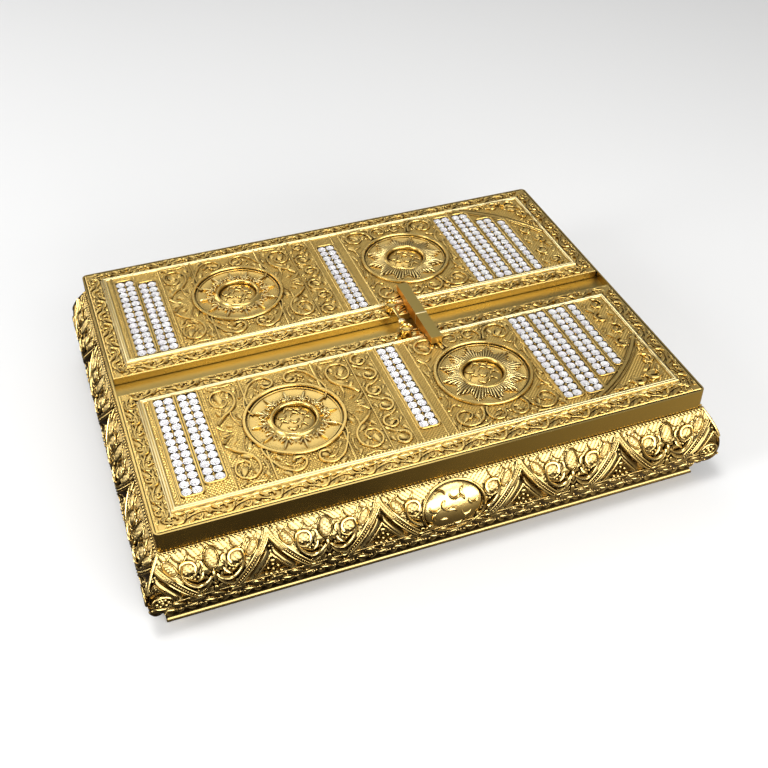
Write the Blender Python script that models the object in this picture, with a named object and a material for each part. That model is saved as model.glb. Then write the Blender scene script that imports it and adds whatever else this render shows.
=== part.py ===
"""Low gilt box for a holy book, its lid laid out as the two leaves of a great door.

Metres, +Z up. The origin is under the middle of the foot, on the surface the box
stands on. +X runs along the length, towards the arched end of the leaves, and +Y
runs away from the front. Every piece is a separate solid in its own object.
"""
import math
from collections import namedtuple

import bmesh
import bpy
from mathutils import Vector

MM = 0.001

# Lid: a polished tray
LID_LENGTH = 300.0 * MM
LID_WIDTH = 225.0 * MM
LID_TOP = 62.0 * MM
BAND_HEIGHT = 11.9 * MM
LID_CORNER = 3.0 * MM
LID_LIP = 0.9 * MM
TRAY_DEPTH = 4.5 * MM
DECK_THICKNESS = 2.0 * MM
LOCATING_LIP_DEPTH = 3.0 * MM
LOCATING_LIP_THICKNESS = 1.5 * MM

# Gaps between pieces
TOUCH_GAP = 0.3 * MM
LIP_CLEARANCE = 0.4 * MM
LEAF_CLEARANCE = 0.6 * MM

# Box body: a hollow casting
WALL = 2.2 * MM
FLOOR = 3.0 * MM
BULGE_REACH = 10.0 * MM
BULGE_MAX_HEIGHT = 26.0 * MM
NECK_HEIGHT = 10.5 * MM
NECK_REACH = 1.0 * MM
FOOT_HEIGHT = 6.0 * MM
FOOT_REACH = 2.2 * MM
FOOT_RECESS = 2.5 * MM
FOOT_WALL = 5.0 * MM
FRIEZE_DEPTH = 2.6 * MM
FRIEZE_REACH = 1.1 * MM
PROFILE_STEPS = 4

# Side ornament
LONG_SIDE_UNITS = 5
SHORT_SIDE_UNITS = 4
WIDE_UNIT_RATIO = 1.36
BAND_WIDTH = 3.4 * MM
BAND_RISE = 1.0 * MM
BAND_SPREAD = 0.32
BAND_SEGMENTS = 4
LEAF_RISE = 1.3 * MM
SIDE_MEDALLION_WIDTH = 33.0 * MM
SIDE_MEDALLION_RISE = 2.4 * MM
LOWER_BEAD = 1.4 * MM
PALMETTE_LEAF = 5.8 * MM
SIDE_SINK = 0.7 * MM

# Door leaves: two relief plates in the tray
CHANNEL_HALF = 7.4 * MM
BORDER = 9.0 * MM
MOULDING_WIDTH = 2.8 * MM
MOULDING_RISE = 2.4 * MM
FIELD_RISE = 1.7 * MM
LINE_WIDTH = 1.2 * MM
LINE_RISE = 0.6 * MM
MEDALLION_RADIUS = 26.4 * MM
MEDALLION_BOSS = 12.4 * MM
RING_WIDTH = 2.4 * MM
RING_RISE = 1.2 * MM
MEDALLION_RISE = 2.0 * MM
STAR_POINTS = 12
ARCH_RADIUS = 110.5 * MM
ARCH_WIDTH = 1.8 * MM
SCROLL_WIDTH = 2.2 * MM
SCROLL_RISE = 0.9 * MM
BORDER_LEAF_PITCH = 21.0 * MM
LEAF_SINK = 0.3 * MM

# Bays along a leaf, from the plain end to the arched end
PLAIN_BAYS = {"hatch_1": 4.4 * MM, "gap_1": 2.1 * MM, "hatch_2": 3.3 * MM, "curls": 13.4 * MM,
              "hatch_3": 4.8 * MM, "hatch_4": 6.5 * MM, "gap_2": 1.1 * MM, "gap_3": 2.2 * MM,
              "gap_4": 2.2 * MM, "gap_5": 2.2 * MM, "gap_6": 1.8 * MM}
STONE_STRIPS = ("stones_1", "stones_2", "stones_3", "stones_4", "stones_5", "stones_6", "stones_7")
SINGLE_STRIPS = ("stones_7",)
SHORT_STRIPS = ("stones_2", "stones_3")
OPEN_BAYS = {"medallion_1": 80.8, "medallion_2": 62.7, "foliage": 16.3}
BAY_ORDER = ("hatch_1", "stones_1", "gap_1", "stones_2", "hatch_2", "medallion_1", "curls", "hatch_3",
             "stones_3", "hatch_4", "medallion_2", "gap_2", "stones_4", "gap_3", "stones_5", "gap_4",
             "stones_6", "gap_5", "stones_7", "gap_6", "foliage")

# Set stones
STONE_PITCH = 5.3 * MM
STONE_RISE = 1.1 * MM
STRIP_DEPTH = 1.6 * MM
STRIP_MARGIN = 0.8 * MM
CUTTER_HEADROOM = 5.0 * MM

# Lock across the channel
LOCK_BAR_X = 27.8 * MM
LOCK_BAR_WIDTH = 7.0 * MM
LOCK_BAR_LENGTH = 55.0 * MM
LOCK_BAR_TOP = 7.5 * MM
ROD_X = 15.3 * MM
ROD_RADIUS = 1.1 * MM
ROD_HEIGHT = 5.3 * MM
COLLAR_RADIUS = 2.2 * MM
COLLAR_LENGTH = 4.5 * MM
STAPLE_RADIUS = 3.9 * MM
STAPLE_HOLE = 2.2 * MM

GOLD = (0.80, 0.58, 0.20)
BRIGHT_GOLD = (0.92, 0.72, 0.32)
STONE_WHITE = (0.92, 0.92, 0.94)


# A surface that carries relief: a map from a place on it to a point, and how deep feet sink
Surface = namedtuple("Surface", "place sink")


def clear_scene():
    for item in list(bpy.data.objects):
        bpy.data.objects.remove(item, do_unlink=True)


def make_material(name, colour, roughness, metallic):
    material = bpy.data.materials.new(name)
    material.use_nodes = True
    shader = material.node_tree.nodes["Principled BSDF"]
    shader.inputs["Base Color"].default_value = (*colour, 1.0)
    shader.inputs["Roughness"].default_value = roughness
    shader.inputs["Metallic"].default_value = metallic
    return material


def object_from(bm, name, material):
    """Turns a bmesh of closed shells into an object with its faces outwards."""
    bmesh.ops.recalc_face_normals(bm, faces=bm.faces[:])
    mesh = bpy.data.meshes.new(name)
    bm.to_mesh(mesh)
    bm.free()
    mesh.materials.append(material)
    item = bpy.data.objects.new(name, mesh)
    bpy.context.scene.collection.objects.link(item)
    return item


def combine(host, tool, operation):
    """Joins or cuts the host with a hidden tool object."""
    tool.hide_render = True
    tool.display_type = "WIRE"
    modifier = host.modifiers.new(operation.title(), "BOOLEAN")
    modifier.operation = operation
    modifier.solver = "EXACT"
    modifier.use_self = operation == "UNION"
    modifier.object = tool


# Basic closed shapes

def add_rings(bm, rings):
    """Closed body through rings of equal length, capped at both ends."""
    loops = [[bm.verts.new(point) for point in ring] for ring in rings]
    count = len(loops[0])
    for lower, upper in zip(loops, loops[1:]):
        for i in range(count):
            j = (i + 1) % count
            bm.faces.new((lower[i], lower[j], upper[j], upper[i]))
    bm.faces.new(loops[0])
    bm.faces.new(loops[-1])


def square_ring(half_x, half_y, z):
    return [(-half_x, -half_y, z), (half_x, -half_y, z), (half_x, half_y, z), (-half_x, half_y, z)]


def round_ring(half_x, half_y, corner, z, steps=2):
    """Rectangle with rounded corners, as one ring of points."""
    points = []
    for corner_index, (sx, sy) in enumerate(((-1, -1), (1, -1), (1, 1), (-1, 1))):
        start = math.pi + corner_index * math.pi / 2
        for step in range(steps + 1):
            angle = start + step / steps * math.pi / 2
            x = sx * (half_x - corner) + corner * math.cos(angle)
            y = sy * (half_y - corner) + corner * math.sin(angle)
            points.append((x, y, z))
    return points


def offset_path(path, distance, closed):
    """Moves each point of a flat path sideways by a distance."""
    count = len(path)
    moved = []
    for i, point in enumerate(path):
        before = path[i - 1] if (i or closed) else point
        after = path[(i + 1) % count] if (i < count - 1 or closed) else point
        direction = Vector((after[0] - before[0], after[1] - before[1])).normalized()
        moved.append((point[0] - direction.y * distance, point[1] + direction.x * distance))
    return moved


def add_ridge(bm, surface, path, width, rise, closed=False):
    """Raised line of triangular section along a path, as wide as stated at the surface."""
    half = width / 2 * (1 + surface.sink / rise)
    left = offset_path(path, half, closed)
    right = offset_path(path, -half, closed)
    sections = []
    for (lu, lv), (u, v), (ru, rv) in zip(left, path, right):
        corners = (surface.place(lu, lv, -surface.sink), surface.place(u, v, rise),
                   surface.place(ru, rv, -surface.sink))
        sections.append([bm.verts.new(corner) for corner in corners])
    pairs = list(zip(sections, sections[1:]))
    if closed:
        pairs.append((sections[-1], sections[0]))
    for first, second in pairs:
        for i in range(3):
            j = (i + 1) % 3
            bm.faces.new((first[i], first[j], second[j], second[i]))
    if not closed:
        bm.faces.new(sections[0])
        bm.faces.new(sections[-1])


def add_mound(bm, surface, outline, centre, rise, shoulder=None):
    """Raised leaf or dome whose foot reaches under the surface, its crown above it."""
    place = surface.place
    spread = 1.0 if shoulder else 1 + surface.sink / rise
    base = [bm.verts.new(place(centre[0] + (u - centre[0]) * spread, centre[1] + (v - centre[1]) * spread,
                               -surface.sink)) for u, v in outline]
    count = len(base)
    bm.faces.new(base)
    edge = base
    if shoulder:
        share, share_rise = shoulder
        inner = []
        for u, v in outline:
            su = centre[0] + (u - centre[0]) * share
            sv = centre[1] + (v - centre[1]) * share
            inner.append(bm.verts.new(place(su, sv, rise * share_rise)))
        for i in range(count):
            j = (i + 1) % count
            bm.faces.new((base[i], base[j], inner[j], inner[i]))
        edge = inner
    crown = bm.verts.new(place(centre[0], centre[1], rise))
    for i in range(count):
        bm.faces.new((edge[i], edge[(i + 1) % count], crown))


def ellipse(centre, radius_u, radius_v, steps):
    angles = [2 * math.pi * i / steps for i in range(steps)]
    return [(centre[0] + radius_u * math.cos(a), centre[1] + radius_v * math.sin(a)) for a in angles]


def scroll(centre, radius, start, turn, steps, shrink=0.45):
    """Curl that winds inwards from its outer radius."""
    points = []
    for step in range(steps + 1):
        share = step / steps
        reach = radius * (1 - (1 - shrink) * share)
        angle = start + turn * share
        points.append((centre[0] + reach * math.cos(angle), centre[1] + reach * math.sin(angle)))
    return points


# Body

def body_rim():
    return LID_TOP - BAND_HEIGHT - TOUCH_GAP


def bulge_points(steps):
    """Profile from the rim down to the neck: a cyma above, an ellipse below."""
    rim = body_rim()
    upper = rim - BULGE_MAX_HEIGHT
    lower = BULGE_MAX_HEIGHT - NECK_HEIGHT
    points = []
    for step in range(steps + 1):
        share = step / steps
        points.append((BULGE_REACH * math.sin(math.pi / 2 * share), rim - upper * share))
    for step in range(1, steps + 1):
        angle = math.pi / 2 * step / steps
        reach = NECK_REACH + (BULGE_REACH - NECK_REACH) * math.cos(angle)
        points.append((reach, BULGE_MAX_HEIGHT - lower * math.sin(angle)))
    return points


def side_profile():
    """Length down the bulge's surface with its reach and height at each point."""
    table = [(0.0, *bulge_points(40)[0])]
    for reach, height in bulge_points(40)[1:]:
        length, last_reach, last_height = table[-1]
        step = math.hypot(reach - last_reach, height - last_height)
        table.append((length + step, reach, height))
    return table


SIDE_PROFILE = side_profile()


def on_profile(length):
    """Reach, height and outward normal at a length down the bulge."""
    length = min(max(length, 0.0), SIDE_PROFILE[-1][0] * 0.999)
    for (l0, r0, z0), (l1, r1, z1) in zip(SIDE_PROFILE, SIDE_PROFILE[1:]):
        if length <= l1:
            share = (length - l0) / (l1 - l0)
            run = Vector((r1 - r0, z1 - z0)).normalized()
            return r0 + (r1 - r0) * share, z0 + (z1 - z0) * share, Vector((-run.y, run.x))
    return None


def side_surface(side):
    """Maps length along a side, length down it and rise to a point of the box."""
    out_x, out_y = ((0, -1), (1, 0), (0, 1), (-1, 0))[side]
    half = LID_WIDTH / 2 if out_x == 0 else LID_LENGTH / 2

    def place(along, down, rise):
        reach, height, normal = on_profile(down)
        out = half + reach + normal.x * rise
        x = out_x * out - out_y * along
        y = out_y * out + out_x * along
        return (x, y, height + normal.y * rise)

    return Surface(place, SIDE_SINK)


def festoon_path(peak, top, bottom, spread, half_length, side_sign):
    """One half of a pointed festoon, from its peak down to its foot, inside the mitres."""
    points = []
    for step in range(BAND_SEGMENTS + 1):
        share = step / BAND_SEGMENTS
        along = peak + side_sign * spread * share ** 1.35
        down = top + (bottom - top) * share
        limit = half_length + on_profile(down)[0] - BAND_WIDTH * 0.3
        points.append((max(-limit, min(limit, along)), down))
    return points


def unit_widths(count):
    """Relative widths of a side's units: an odd number has a wide one in the middle."""
    return [WIDE_UNIT_RATIO if count % 2 and index == count // 2 else 1.0 for index in range(count)]


def unit_edges(side_length, count):
    """Places of the peaks along a side."""
    widths = unit_widths(count)
    edges = [-side_length / 2]
    for width in widths:
        edges.append(edges[-1] + side_length * width / sum(widths))
    return edges


def add_peak(bm, surface, peak, pitch, depth, half_length, half_sign):
    """Pointed band with a lobe under it; half_sign picks one half at a corner."""
    top = depth * 0.07
    bottom = depth * 0.58
    spread = pitch * BAND_SPREAD
    left = festoon_path(peak, top, bottom, spread, half_length, -1)
    right = festoon_path(peak, top, bottom, spread, half_length, 1)
    if half_sign == 0:
        add_ridge(bm, surface, left[:0:-1] + right, BAND_WIDTH, BAND_RISE)
        outline = ((0.0, 0.33), (0.42, 0.5), (0.5, 0.62), (0.0, 0.68), (-0.5, 0.62), (-0.42, 0.5))
        lobe = [(peak + spread * along, depth * down) for along, down in outline]
        add_mound(bm, surface, lobe, (peak, depth * 0.56), LEAF_RISE)
    else:
        add_ridge(bm, surface, right if half_sign > 0 else left, BAND_WIDTH, BAND_RISE)


def add_palmette(bm, surface, middle, half_span, depth):
    """Leaf bouquet in the bowl between two peaks: a pointed leaf, two curled leaves and a bud."""
    leaf = [(middle, depth * 0.09), (middle + PALMETTE_LEAF / 2, depth * 0.2), (middle, depth * 0.31),
            (middle - PALMETTE_LEAF / 2, depth * 0.2)]
    add_mound(bm, surface, leaf, (middle, depth * 0.2), LEAF_RISE)
    curl = ((0.40, 0.18), (0.52, 0.22), (0.56, 0.33), (0.42, 0.44), (0.18, 0.42), (0.30, 0.31))
    for sign in (-1, 1):
        outline = [(middle + sign * half_span * along, depth * down) for along, down in curl]
        add_mound(bm, surface, outline, (middle + sign * half_span * 0.42, depth * 0.33), LEAF_RISE)
    bud = [(middle + PALMETTE_LEAF * along, depth * down) for along, down in
           ((0.0, 0.46), (0.8, 0.56), (0.0, 0.62), (-0.8, 0.56))]
    add_mound(bm, surface, bud, (middle, depth * 0.54), LEAF_RISE)


def add_side_ornament(bm, side):
    surface = side_surface(side)
    lid_side = LID_LENGTH if side % 2 == 0 else LID_WIDTH
    side_length = lid_side + BULGE_REACH
    count = LONG_SIDE_UNITS if side % 2 == 0 else SHORT_SIDE_UNITS
    depth = SIDE_PROFILE[-1][0]
    edges = unit_edges(side_length, count)
    pitch = edges[1] - edges[0]
    for index, edge in enumerate(edges):
        half_sign = 1 if index == 0 else -1 if index == count else 0
        add_peak(bm, surface, edge, pitch, depth, lid_side / 2, half_sign)
    for index, (start, end) in enumerate(zip(edges, edges[1:])):
        middle = (start + end) / 2
        if unit_widths(count)[index] > 1:
            centre = (middle, depth * 0.34)
            oval = ellipse(centre, SIDE_MEDALLION_WIDTH / 2, depth * 0.26, 14)
            add_mound(bm, surface, oval, centre, SIDE_MEDALLION_RISE, (0.75, 0.6))
        else:
            add_palmette(bm, surface, middle, (end - start) / 2, depth)


def build_body(material):
    half_x = LID_LENGTH / 2
    half_y = LID_WIDTH / 2
    outer = [(reach, height) for reach, height in bulge_points(PROFILE_STEPS)]
    rim = body_rim()
    frieze = [(0.1 * MM, rim), (FRIEZE_REACH, rim - FRIEZE_DEPTH * 0.15),
              (FRIEZE_REACH * 1.5, rim - FRIEZE_DEPTH * 0.6)]
    foot = [(NECK_REACH, NECK_HEIGHT - 1.2 * MM), (FOOT_REACH, FOOT_HEIGHT + 1.0 * MM),
            (FOOT_REACH * 0.6, FOOT_HEIGHT * 0.75), (FOOT_REACH, 1.2 * MM), (FOOT_REACH, 0.0)]
    below = [(-FOOT_WALL, 0.0), (-FOOT_WALL - 1.0 * MM, FOOT_RECESS)]
    inner = [(reach - WALL, height) for reach, height in outer if height > FOOT_RECESS + FLOOR]
    inner[0] = (-WALL, rim)
    floor_top = FOOT_RECESS + FLOOR
    inner.append((inner[-1][0], floor_top))
    bead = []
    for down, rise in ((0.74, 0.0), (0.78, LOWER_BEAD), (0.83, LOWER_BEAD * 0.7), (0.85, 0.0)):
        reach, height, normal = on_profile(SIDE_PROFILE[-1][0] * down)
        bead.append((reach + normal.x * rise, height + normal.y * rise))
    above_bead = [point for point in outer[1:] if point[1] > bead[0][1]]
    under_bead = [point for point in outer[1:] if point[1] < bead[-1][1]]
    rings = inner[::-1] + frieze + above_bead + bead + under_bead + foot + below
    bm = bmesh.new()
    add_rings(bm, [square_ring(half_x + reach, half_y + reach, height) for reach, height in rings])
    body = object_from(bm, "box_body", material)
    ornament = bmesh.new()
    for side in range(4):
        add_side_ornament(ornament, side)
    combine(body, object_from(ornament, "body_ornament", material), "UNION")
    return body


# Lid

def build_lid(material):
    half_x = LID_LENGTH / 2
    half_y = LID_WIDTH / 2
    band_bottom = LID_TOP - BAND_HEIGHT
    deck_top = LID_TOP - TRAY_DEPTH
    lip_outer = WALL + LIP_CLEARANCE
    lip_inner = lip_outer + LOCATING_LIP_THICKNESS
    lip_bottom = band_bottom - LOCATING_LIP_DEPTH
    edge = 0.4 * MM
    steps = [
        (LID_LIP, deck_top), (LID_LIP, LID_TOP - edge / 2), (LID_LIP * 0.7, LID_TOP), (edge, LID_TOP),
        (0.0, LID_TOP - edge), (0.0, band_bottom + edge), (edge, band_bottom), (lip_outer, band_bottom),
        (lip_outer, lip_bottom), (lip_inner, lip_bottom), (lip_inner, deck_top - DECK_THICKNESS),
    ]
    rings = []
    for index, (inset, z) in enumerate(steps):
        corner = 2 * LEAF_CLEARANCE if index < 3 else max(LID_CORNER - inset, edge)
        rings.append(round_ring(half_x - inset, half_y - inset, corner, z))
    bm = bmesh.new()
    add_rings(bm, rings)
    return object_from(bm, "lid", material)


# Door leaves

def leaf_half_length():
    return LID_LENGTH / 2 - LID_LIP - LEAF_CLEARANCE


def leaf_far_edge():
    return LID_WIDTH / 2 - LID_LIP - LEAF_CLEARANCE


def field_box():
    """Flat field inside the moulding: left, right, channel side and outer side."""
    left = -leaf_half_length() + BORDER + MOULDING_WIDTH
    inner = CHANNEL_HALF + BORDER + MOULDING_WIDTH
    outer = leaf_far_edge() - BORDER - MOULDING_WIDTH
    return left, -left, inner, outer


def columns_of(name):
    return 1 if name in SINGLE_STRIPS else 2


def bays():
    """Start and end of each bay along the field; the open bays share what is left."""
    left, right, _, _ = field_box()
    widths = {name: columns_of(name) * STONE_PITCH for name in STONE_STRIPS}
    widths.update(PLAIN_BAYS)
    free = right - left - sum(widths.values())
    for name, share in OPEN_BAYS.items():
        widths[name] = free * share / sum(OPEN_BAYS.values())
    places = {}
    x = left
    for name in BAY_ORDER:
        places[name] = (x, x + widths[name])
        x += widths[name]
    return places


def arch_centre():
    start, end = bays()["medallion_2"]
    return (start + end) / 2


def arch_y(x):
    """Height of the arch over a place along the field."""
    inside = ARCH_RADIUS ** 2 - (x - arch_centre()) ** 2
    return math.sqrt(max(inside, 0.0))


def stone_strips():
    """Each strip's place, its columns and its rows of stones."""
    _, _, inner, outer = field_box()
    first = inner + STRIP_MARGIN
    result = []
    for name in STONE_STRIPS:
        start, end = bays()[name]
        room = outer - STRIP_MARGIN - first
        if start > arch_centre():
            room = min(room, arch_y((start + end) / 2) - ARCH_WIDTH - first)
        rows = int(room / STONE_PITCH) - (1 if name in SHORT_STRIPS else 0)
        result.append((name, start, first, columns_of(name), rows))
    return result


def leaf_surface(side, level):
    """Maps a place on a leaf and a rise over its level to a point of the box."""
    def place(x, y, rise):
        return (x, side * y, LID_TOP + level + rise)

    return Surface(place, LEAF_SINK)


def add_medallion(bm, surface, centre, star_depth):
    """Raised ring, star of points round a domed boss."""
    ring = ellipse(centre, MEDALLION_RADIUS, MEDALLION_RADIUS, 16)
    add_ridge(bm, surface, ring, RING_WIDTH, RING_RISE, closed=True)
    star = []
    tip = MEDALLION_RADIUS - 2.5 * MM
    for index in range(STAR_POINTS * 2):
        reach = tip if index % 2 == 0 else tip * star_depth
        angle = math.pi * index / STAR_POINTS
        star.append((centre[0] + reach * math.cos(angle), centre[1] + reach * math.sin(angle)))
    add_mound(bm, surface, star, centre, MEDALLION_RISE * 0.9)
    boss = ellipse(centre, MEDALLION_BOSS, MEDALLION_BOSS, 10)
    add_mound(bm, surface, boss, centre, MEDALLION_RISE * 1.9, (0.7, 0.8))


def add_bay_scrolls(bm, surface, start, end, centre, side_columns):
    """Curls above and below a medallion, and beside it in the wider bay."""
    _, _, inner, outer = field_box()
    room = (outer - inner) / 2 - MEDALLION_RADIUS
    radius = room * 0.42
    for sign in (-1, 1):
        for way in (-1, 1):
            y = centre[1] + way * (MEDALLION_RADIUS + room * 0.45)
            x = centre[0] + sign * (radius * 1.5)
            curl = scroll((x, y), radius, math.pi / 2 - way * math.pi / 2, sign * way * math.pi * 1.2, 3)
            add_ridge(bm, surface, curl, SCROLL_WIDTH, SCROLL_RISE)
        if side_columns:
            gap = (end - start) / 2 - MEDALLION_RADIUS
            for way in (-1, 1):
                x = centre[0] + sign * (MEDALLION_RADIUS + gap * 0.5)
                y = centre[1] + way * (outer - inner) * 0.27
                curl = scroll((x, y), gap * 0.42, -way * math.pi / 2, sign * math.pi * 1.3, 3)
                add_ridge(bm, surface, curl, SCROLL_WIDTH, SCROLL_RISE)


def add_scroll_strip(bm, surface, start, end):
    """Upright row of curls that turn left and right in turn."""
    _, _, inner, outer = field_box()
    width = end - start
    count = max(int((outer - inner) / width), 1)
    step = (outer - inner) / count
    for index in range(count):
        centre = ((start + end) / 2, inner + (index + 0.5) * step)
        turn = math.pi * 1.4 * (1 if index % 2 else -1)
        add_ridge(bm, surface, scroll(centre, width * 0.36, -math.pi / 2, turn, 3), SCROLL_WIDTH, SCROLL_RISE)


def add_border_leaves(bm, surface):
    """Lozenge leaves round the border."""
    half = leaf_half_length()
    inner = CHANNEL_HALF
    outer = leaf_far_edge()
    end = half - BORDER
    centre_line = BORDER / 2
    rows = ((-end, end, outer - centre_line, False), (-end, end, inner + centre_line, False),
            (inner, outer, -half + centre_line, True), (inner, outer, half - centre_line, True))
    for low, high, across, upright in rows:
        count = int((high - low) / BORDER_LEAF_PITCH)
        step = (high - low) / count
        for index in range(count):
            middle = low + (index + 0.5) * step
            long, short = step * 0.36, BORDER * 0.28
            under_lock = ROD_X - STAPLE_RADIUS - long < middle < LOCK_BAR_X + LOCK_BAR_WIDTH / 2 + long
            if under_lock and across < inner + BORDER and not upright:
                continue
            leaf = [(middle - long, across), (middle, across - short),
                    (middle + long, across), (middle, across + short)]
            centre = (middle, across)
            if upright:
                leaf = [(v, u) for u, v in leaf]
                centre = (across, middle)
            add_mound(bm, surface, leaf, centre, SCROLL_RISE)


def add_arch(bm, surface):
    """Arch line from the outer moulding to the right moulding."""
    _, right, _, outer = field_box()
    first = math.acos(min((right - arch_centre()) / ARCH_RADIUS, 1.0))
    last = math.asin(min(outer / ARCH_RADIUS, 1.0))
    points = []
    for step in range(7):
        angle = first + (last - first) * step / 6
        points.append((arch_centre() + ARCH_RADIUS * math.cos(angle), ARCH_RADIUS * math.sin(angle)))
    add_ridge(bm, surface, points, ARCH_WIDTH, LINE_RISE + 0.3 * MM)


def build_leaf(name, side, material):
    half = leaf_half_length()
    inner = CHANNEL_HALF
    outer = leaf_far_edge()
    middle_y = (inner + outer) / 2
    half_y = (outer - inner) / 2
    bottom = LID_TOP - TRAY_DEPTH + TOUCH_GAP
    steps = [(0.0, bottom), (0.0, LID_TOP), (BORDER, LID_TOP),
             (BORDER + MOULDING_WIDTH * 0.35, LID_TOP + MOULDING_RISE),
             (BORDER + MOULDING_WIDTH * 0.8, LID_TOP + MOULDING_RISE),
             (BORDER + MOULDING_WIDTH, LID_TOP + FIELD_RISE)]
    rings = []
    for inset, z in steps:
        ring = square_ring(half - inset, half_y - inset, z)
        rings.append([(x, side * (y + middle_y), z) for x, y, z in ring])
    bm = bmesh.new()
    add_rings(bm, rings)
    leaf = object_from(bm, name, material)

    relief = bmesh.new()
    field = leaf_surface(side, FIELD_RISE)
    places = bays()
    _, _, field_inner, field_outer = field_box()
    centre_y = (field_inner + field_outer) / 2
    for bay, star_depth in (("medallion_1", 0.66), ("medallion_2", 0.76)):
        start, end = places[bay]
        centre = ((start + end) / 2, centre_y)
        add_medallion(relief, field, centre, star_depth)
        add_bay_scrolls(relief, field, start, end, centre, bay == "medallion_1")
    add_scroll_strip(relief, field, *places["curls"])
    lines = [places["medallion_1"][0], places["medallion_1"][1], places["curls"][1],
             places["medallion_2"][0], places["medallion_2"][1]]
    lines += [sum(places[gap]) / 2 for gap in ("gap_3", "gap_4", "gap_5", "gap_6")]
    for x in lines:
        top = min(field_outer, arch_y(x)) if x > arch_centre() else field_outer
        add_ridge(relief, field, [(x, field_inner - 1 * MM), (x, top)], LINE_WIDTH, LINE_RISE)
    add_arch(relief, field)
    add_border_leaves(relief, leaf_surface(side, 0.0))
    combine(leaf, object_from(relief, name + "_relief", material), "UNION")

    pockets = bmesh.new()
    for _, x, y, columns, rows in stone_strips():
        low = LID_TOP + FIELD_RISE - STRIP_DEPTH
        high = LID_TOP + FIELD_RISE + CUTTER_HEADROOM
        x0, x1 = x - TOUCH_GAP, x + columns * STONE_PITCH + TOUCH_GAP
        y0, y1 = y - TOUCH_GAP, y + rows * STONE_PITCH + TOUCH_GAP
        floor = [(x0, side * y0, low), (x1, side * y0, low), (x1, side * y1, low), (x0, side * y1, low)]
        add_rings(pockets, [floor, [(px, py, high) for px, py, _ in floor]])
    combine(leaf, object_from(pockets, name + "_pockets", material), "DIFFERENCE")
    return leaf


def build_strip(name, side, x, y, columns, rows, material):
    """Strip of set stones: a pointed stone over each square of one slab."""
    low = LID_TOP + FIELD_RISE - STRIP_DEPTH + TOUCH_GAP
    top = LID_TOP + FIELD_RISE
    bm = bmesh.new()

    def corner(i, j, z):
        return (x + i * STONE_PITCH, side * (y + j * STONE_PITCH), z)

    grid = [[bm.verts.new(corner(i, j, top)) for j in range(rows + 1)] for i in range(columns + 1)]
    for i in range(columns):
        for j in range(rows):
            tip = bm.verts.new(corner(i + 0.5, j + 0.5, top + STONE_RISE))
            square = (grid[i][j], grid[i + 1][j], grid[i + 1][j + 1], grid[i][j + 1])
            for k in range(4):
                bm.faces.new((square[k], square[(k + 1) % 4], tip))
    feet = [bm.verts.new(corner(i, j, low)) for i, j in ((0, 0), (columns, 0), (columns, rows), (0, rows))]
    bm.faces.new(feet)
    walls = ([grid[i][0] for i in range(columns + 1)], grid[columns],
             [grid[i][rows] for i in range(columns, -1, -1)], grid[0][::-1])
    for index, wall in enumerate(walls):
        bm.faces.new((*wall, feet[(index + 1) % 4], feet[index]))
    return object_from(bm, name, material)


# Lock

def build_lock_bar(material):
    """Flat-topped bar on the two leaves, stepped over their mouldings."""
    half = LOCK_BAR_LENGTH / 2
    foot_half = CHANNEL_HALF + BORDER - TOUCH_GAP
    top = LID_TOP + LOCK_BAR_TOP
    shelf = LID_TOP + max(MOULDING_RISE, FIELD_RISE + SCROLL_RISE) + TOUCH_GAP
    foot = LID_TOP + TOUCH_GAP
    outline = [(-half, top), (half, top), (half, shelf), (foot_half, shelf), (foot_half, foot),
               (-foot_half, foot), (-foot_half, shelf), (-half, shelf)]
    bm = bmesh.new()
    add_rings(bm, [[(LOCK_BAR_X + dx, y, z) for y, z in outline]
                   for dx in (-LOCK_BAR_WIDTH / 2, LOCK_BAR_WIDTH / 2)])
    return object_from(bm, "lock_bar", material)


def staple_y():
    """Staples stand on the border, against the moulding."""
    return CHANNEL_HALF + BORDER - TOUCH_GAP - STAPLE_RADIUS


def build_lock_rod(material):
    """Thin rod between the staples, with a collar nearer the front."""
    end = staple_y() - STAPLE_RADIUS - TOUCH_GAP
    collar_end = -end * 0.35
    collar_start = collar_end - COLLAR_LENGTH
    sections = [(-end, ROD_RADIUS), (collar_start, ROD_RADIUS), (collar_start, COLLAR_RADIUS),
                (collar_end, COLLAR_RADIUS), (collar_end, ROD_RADIUS), (end, ROD_RADIUS)]
    z = LID_TOP + ROD_HEIGHT
    bm = bmesh.new()
    add_rings(bm, [[(ROD_X + radius * math.cos(math.pi * i / 4), y, z + radius * math.sin(math.pi * i / 4))
                    for i in range(8)] for y, radius in sections])
    return object_from(bm, "lock_rod", material)


def build_staple(name, side, material):
    """Round eye post with an upright hole, on the leaf's border."""
    bottom = LID_TOP + TOUCH_GAP
    top = LID_TOP + ROD_HEIGHT + ROD_RADIUS + 0.6 * MM
    steps = [(STAPLE_HOLE, bottom), (STAPLE_RADIUS, bottom), (STAPLE_RADIUS, top), (STAPLE_HOLE, top)]
    loops = []
    bm = bmesh.new()
    for radius, z in steps:
        ring = [(ROD_X + u, side * staple_y() + v, z) for u, v in ellipse((0.0, 0.0), radius, radius, 10)]
        loops.append([bm.verts.new(point) for point in ring])
    for lower, upper in zip(loops, loops[1:] + loops[:1]):
        for i in range(len(lower)):
            j = (i + 1) % len(lower)
            bm.faces.new((lower[i], lower[j], upper[j], upper[i]))
    return object_from(bm, name, material)


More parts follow.
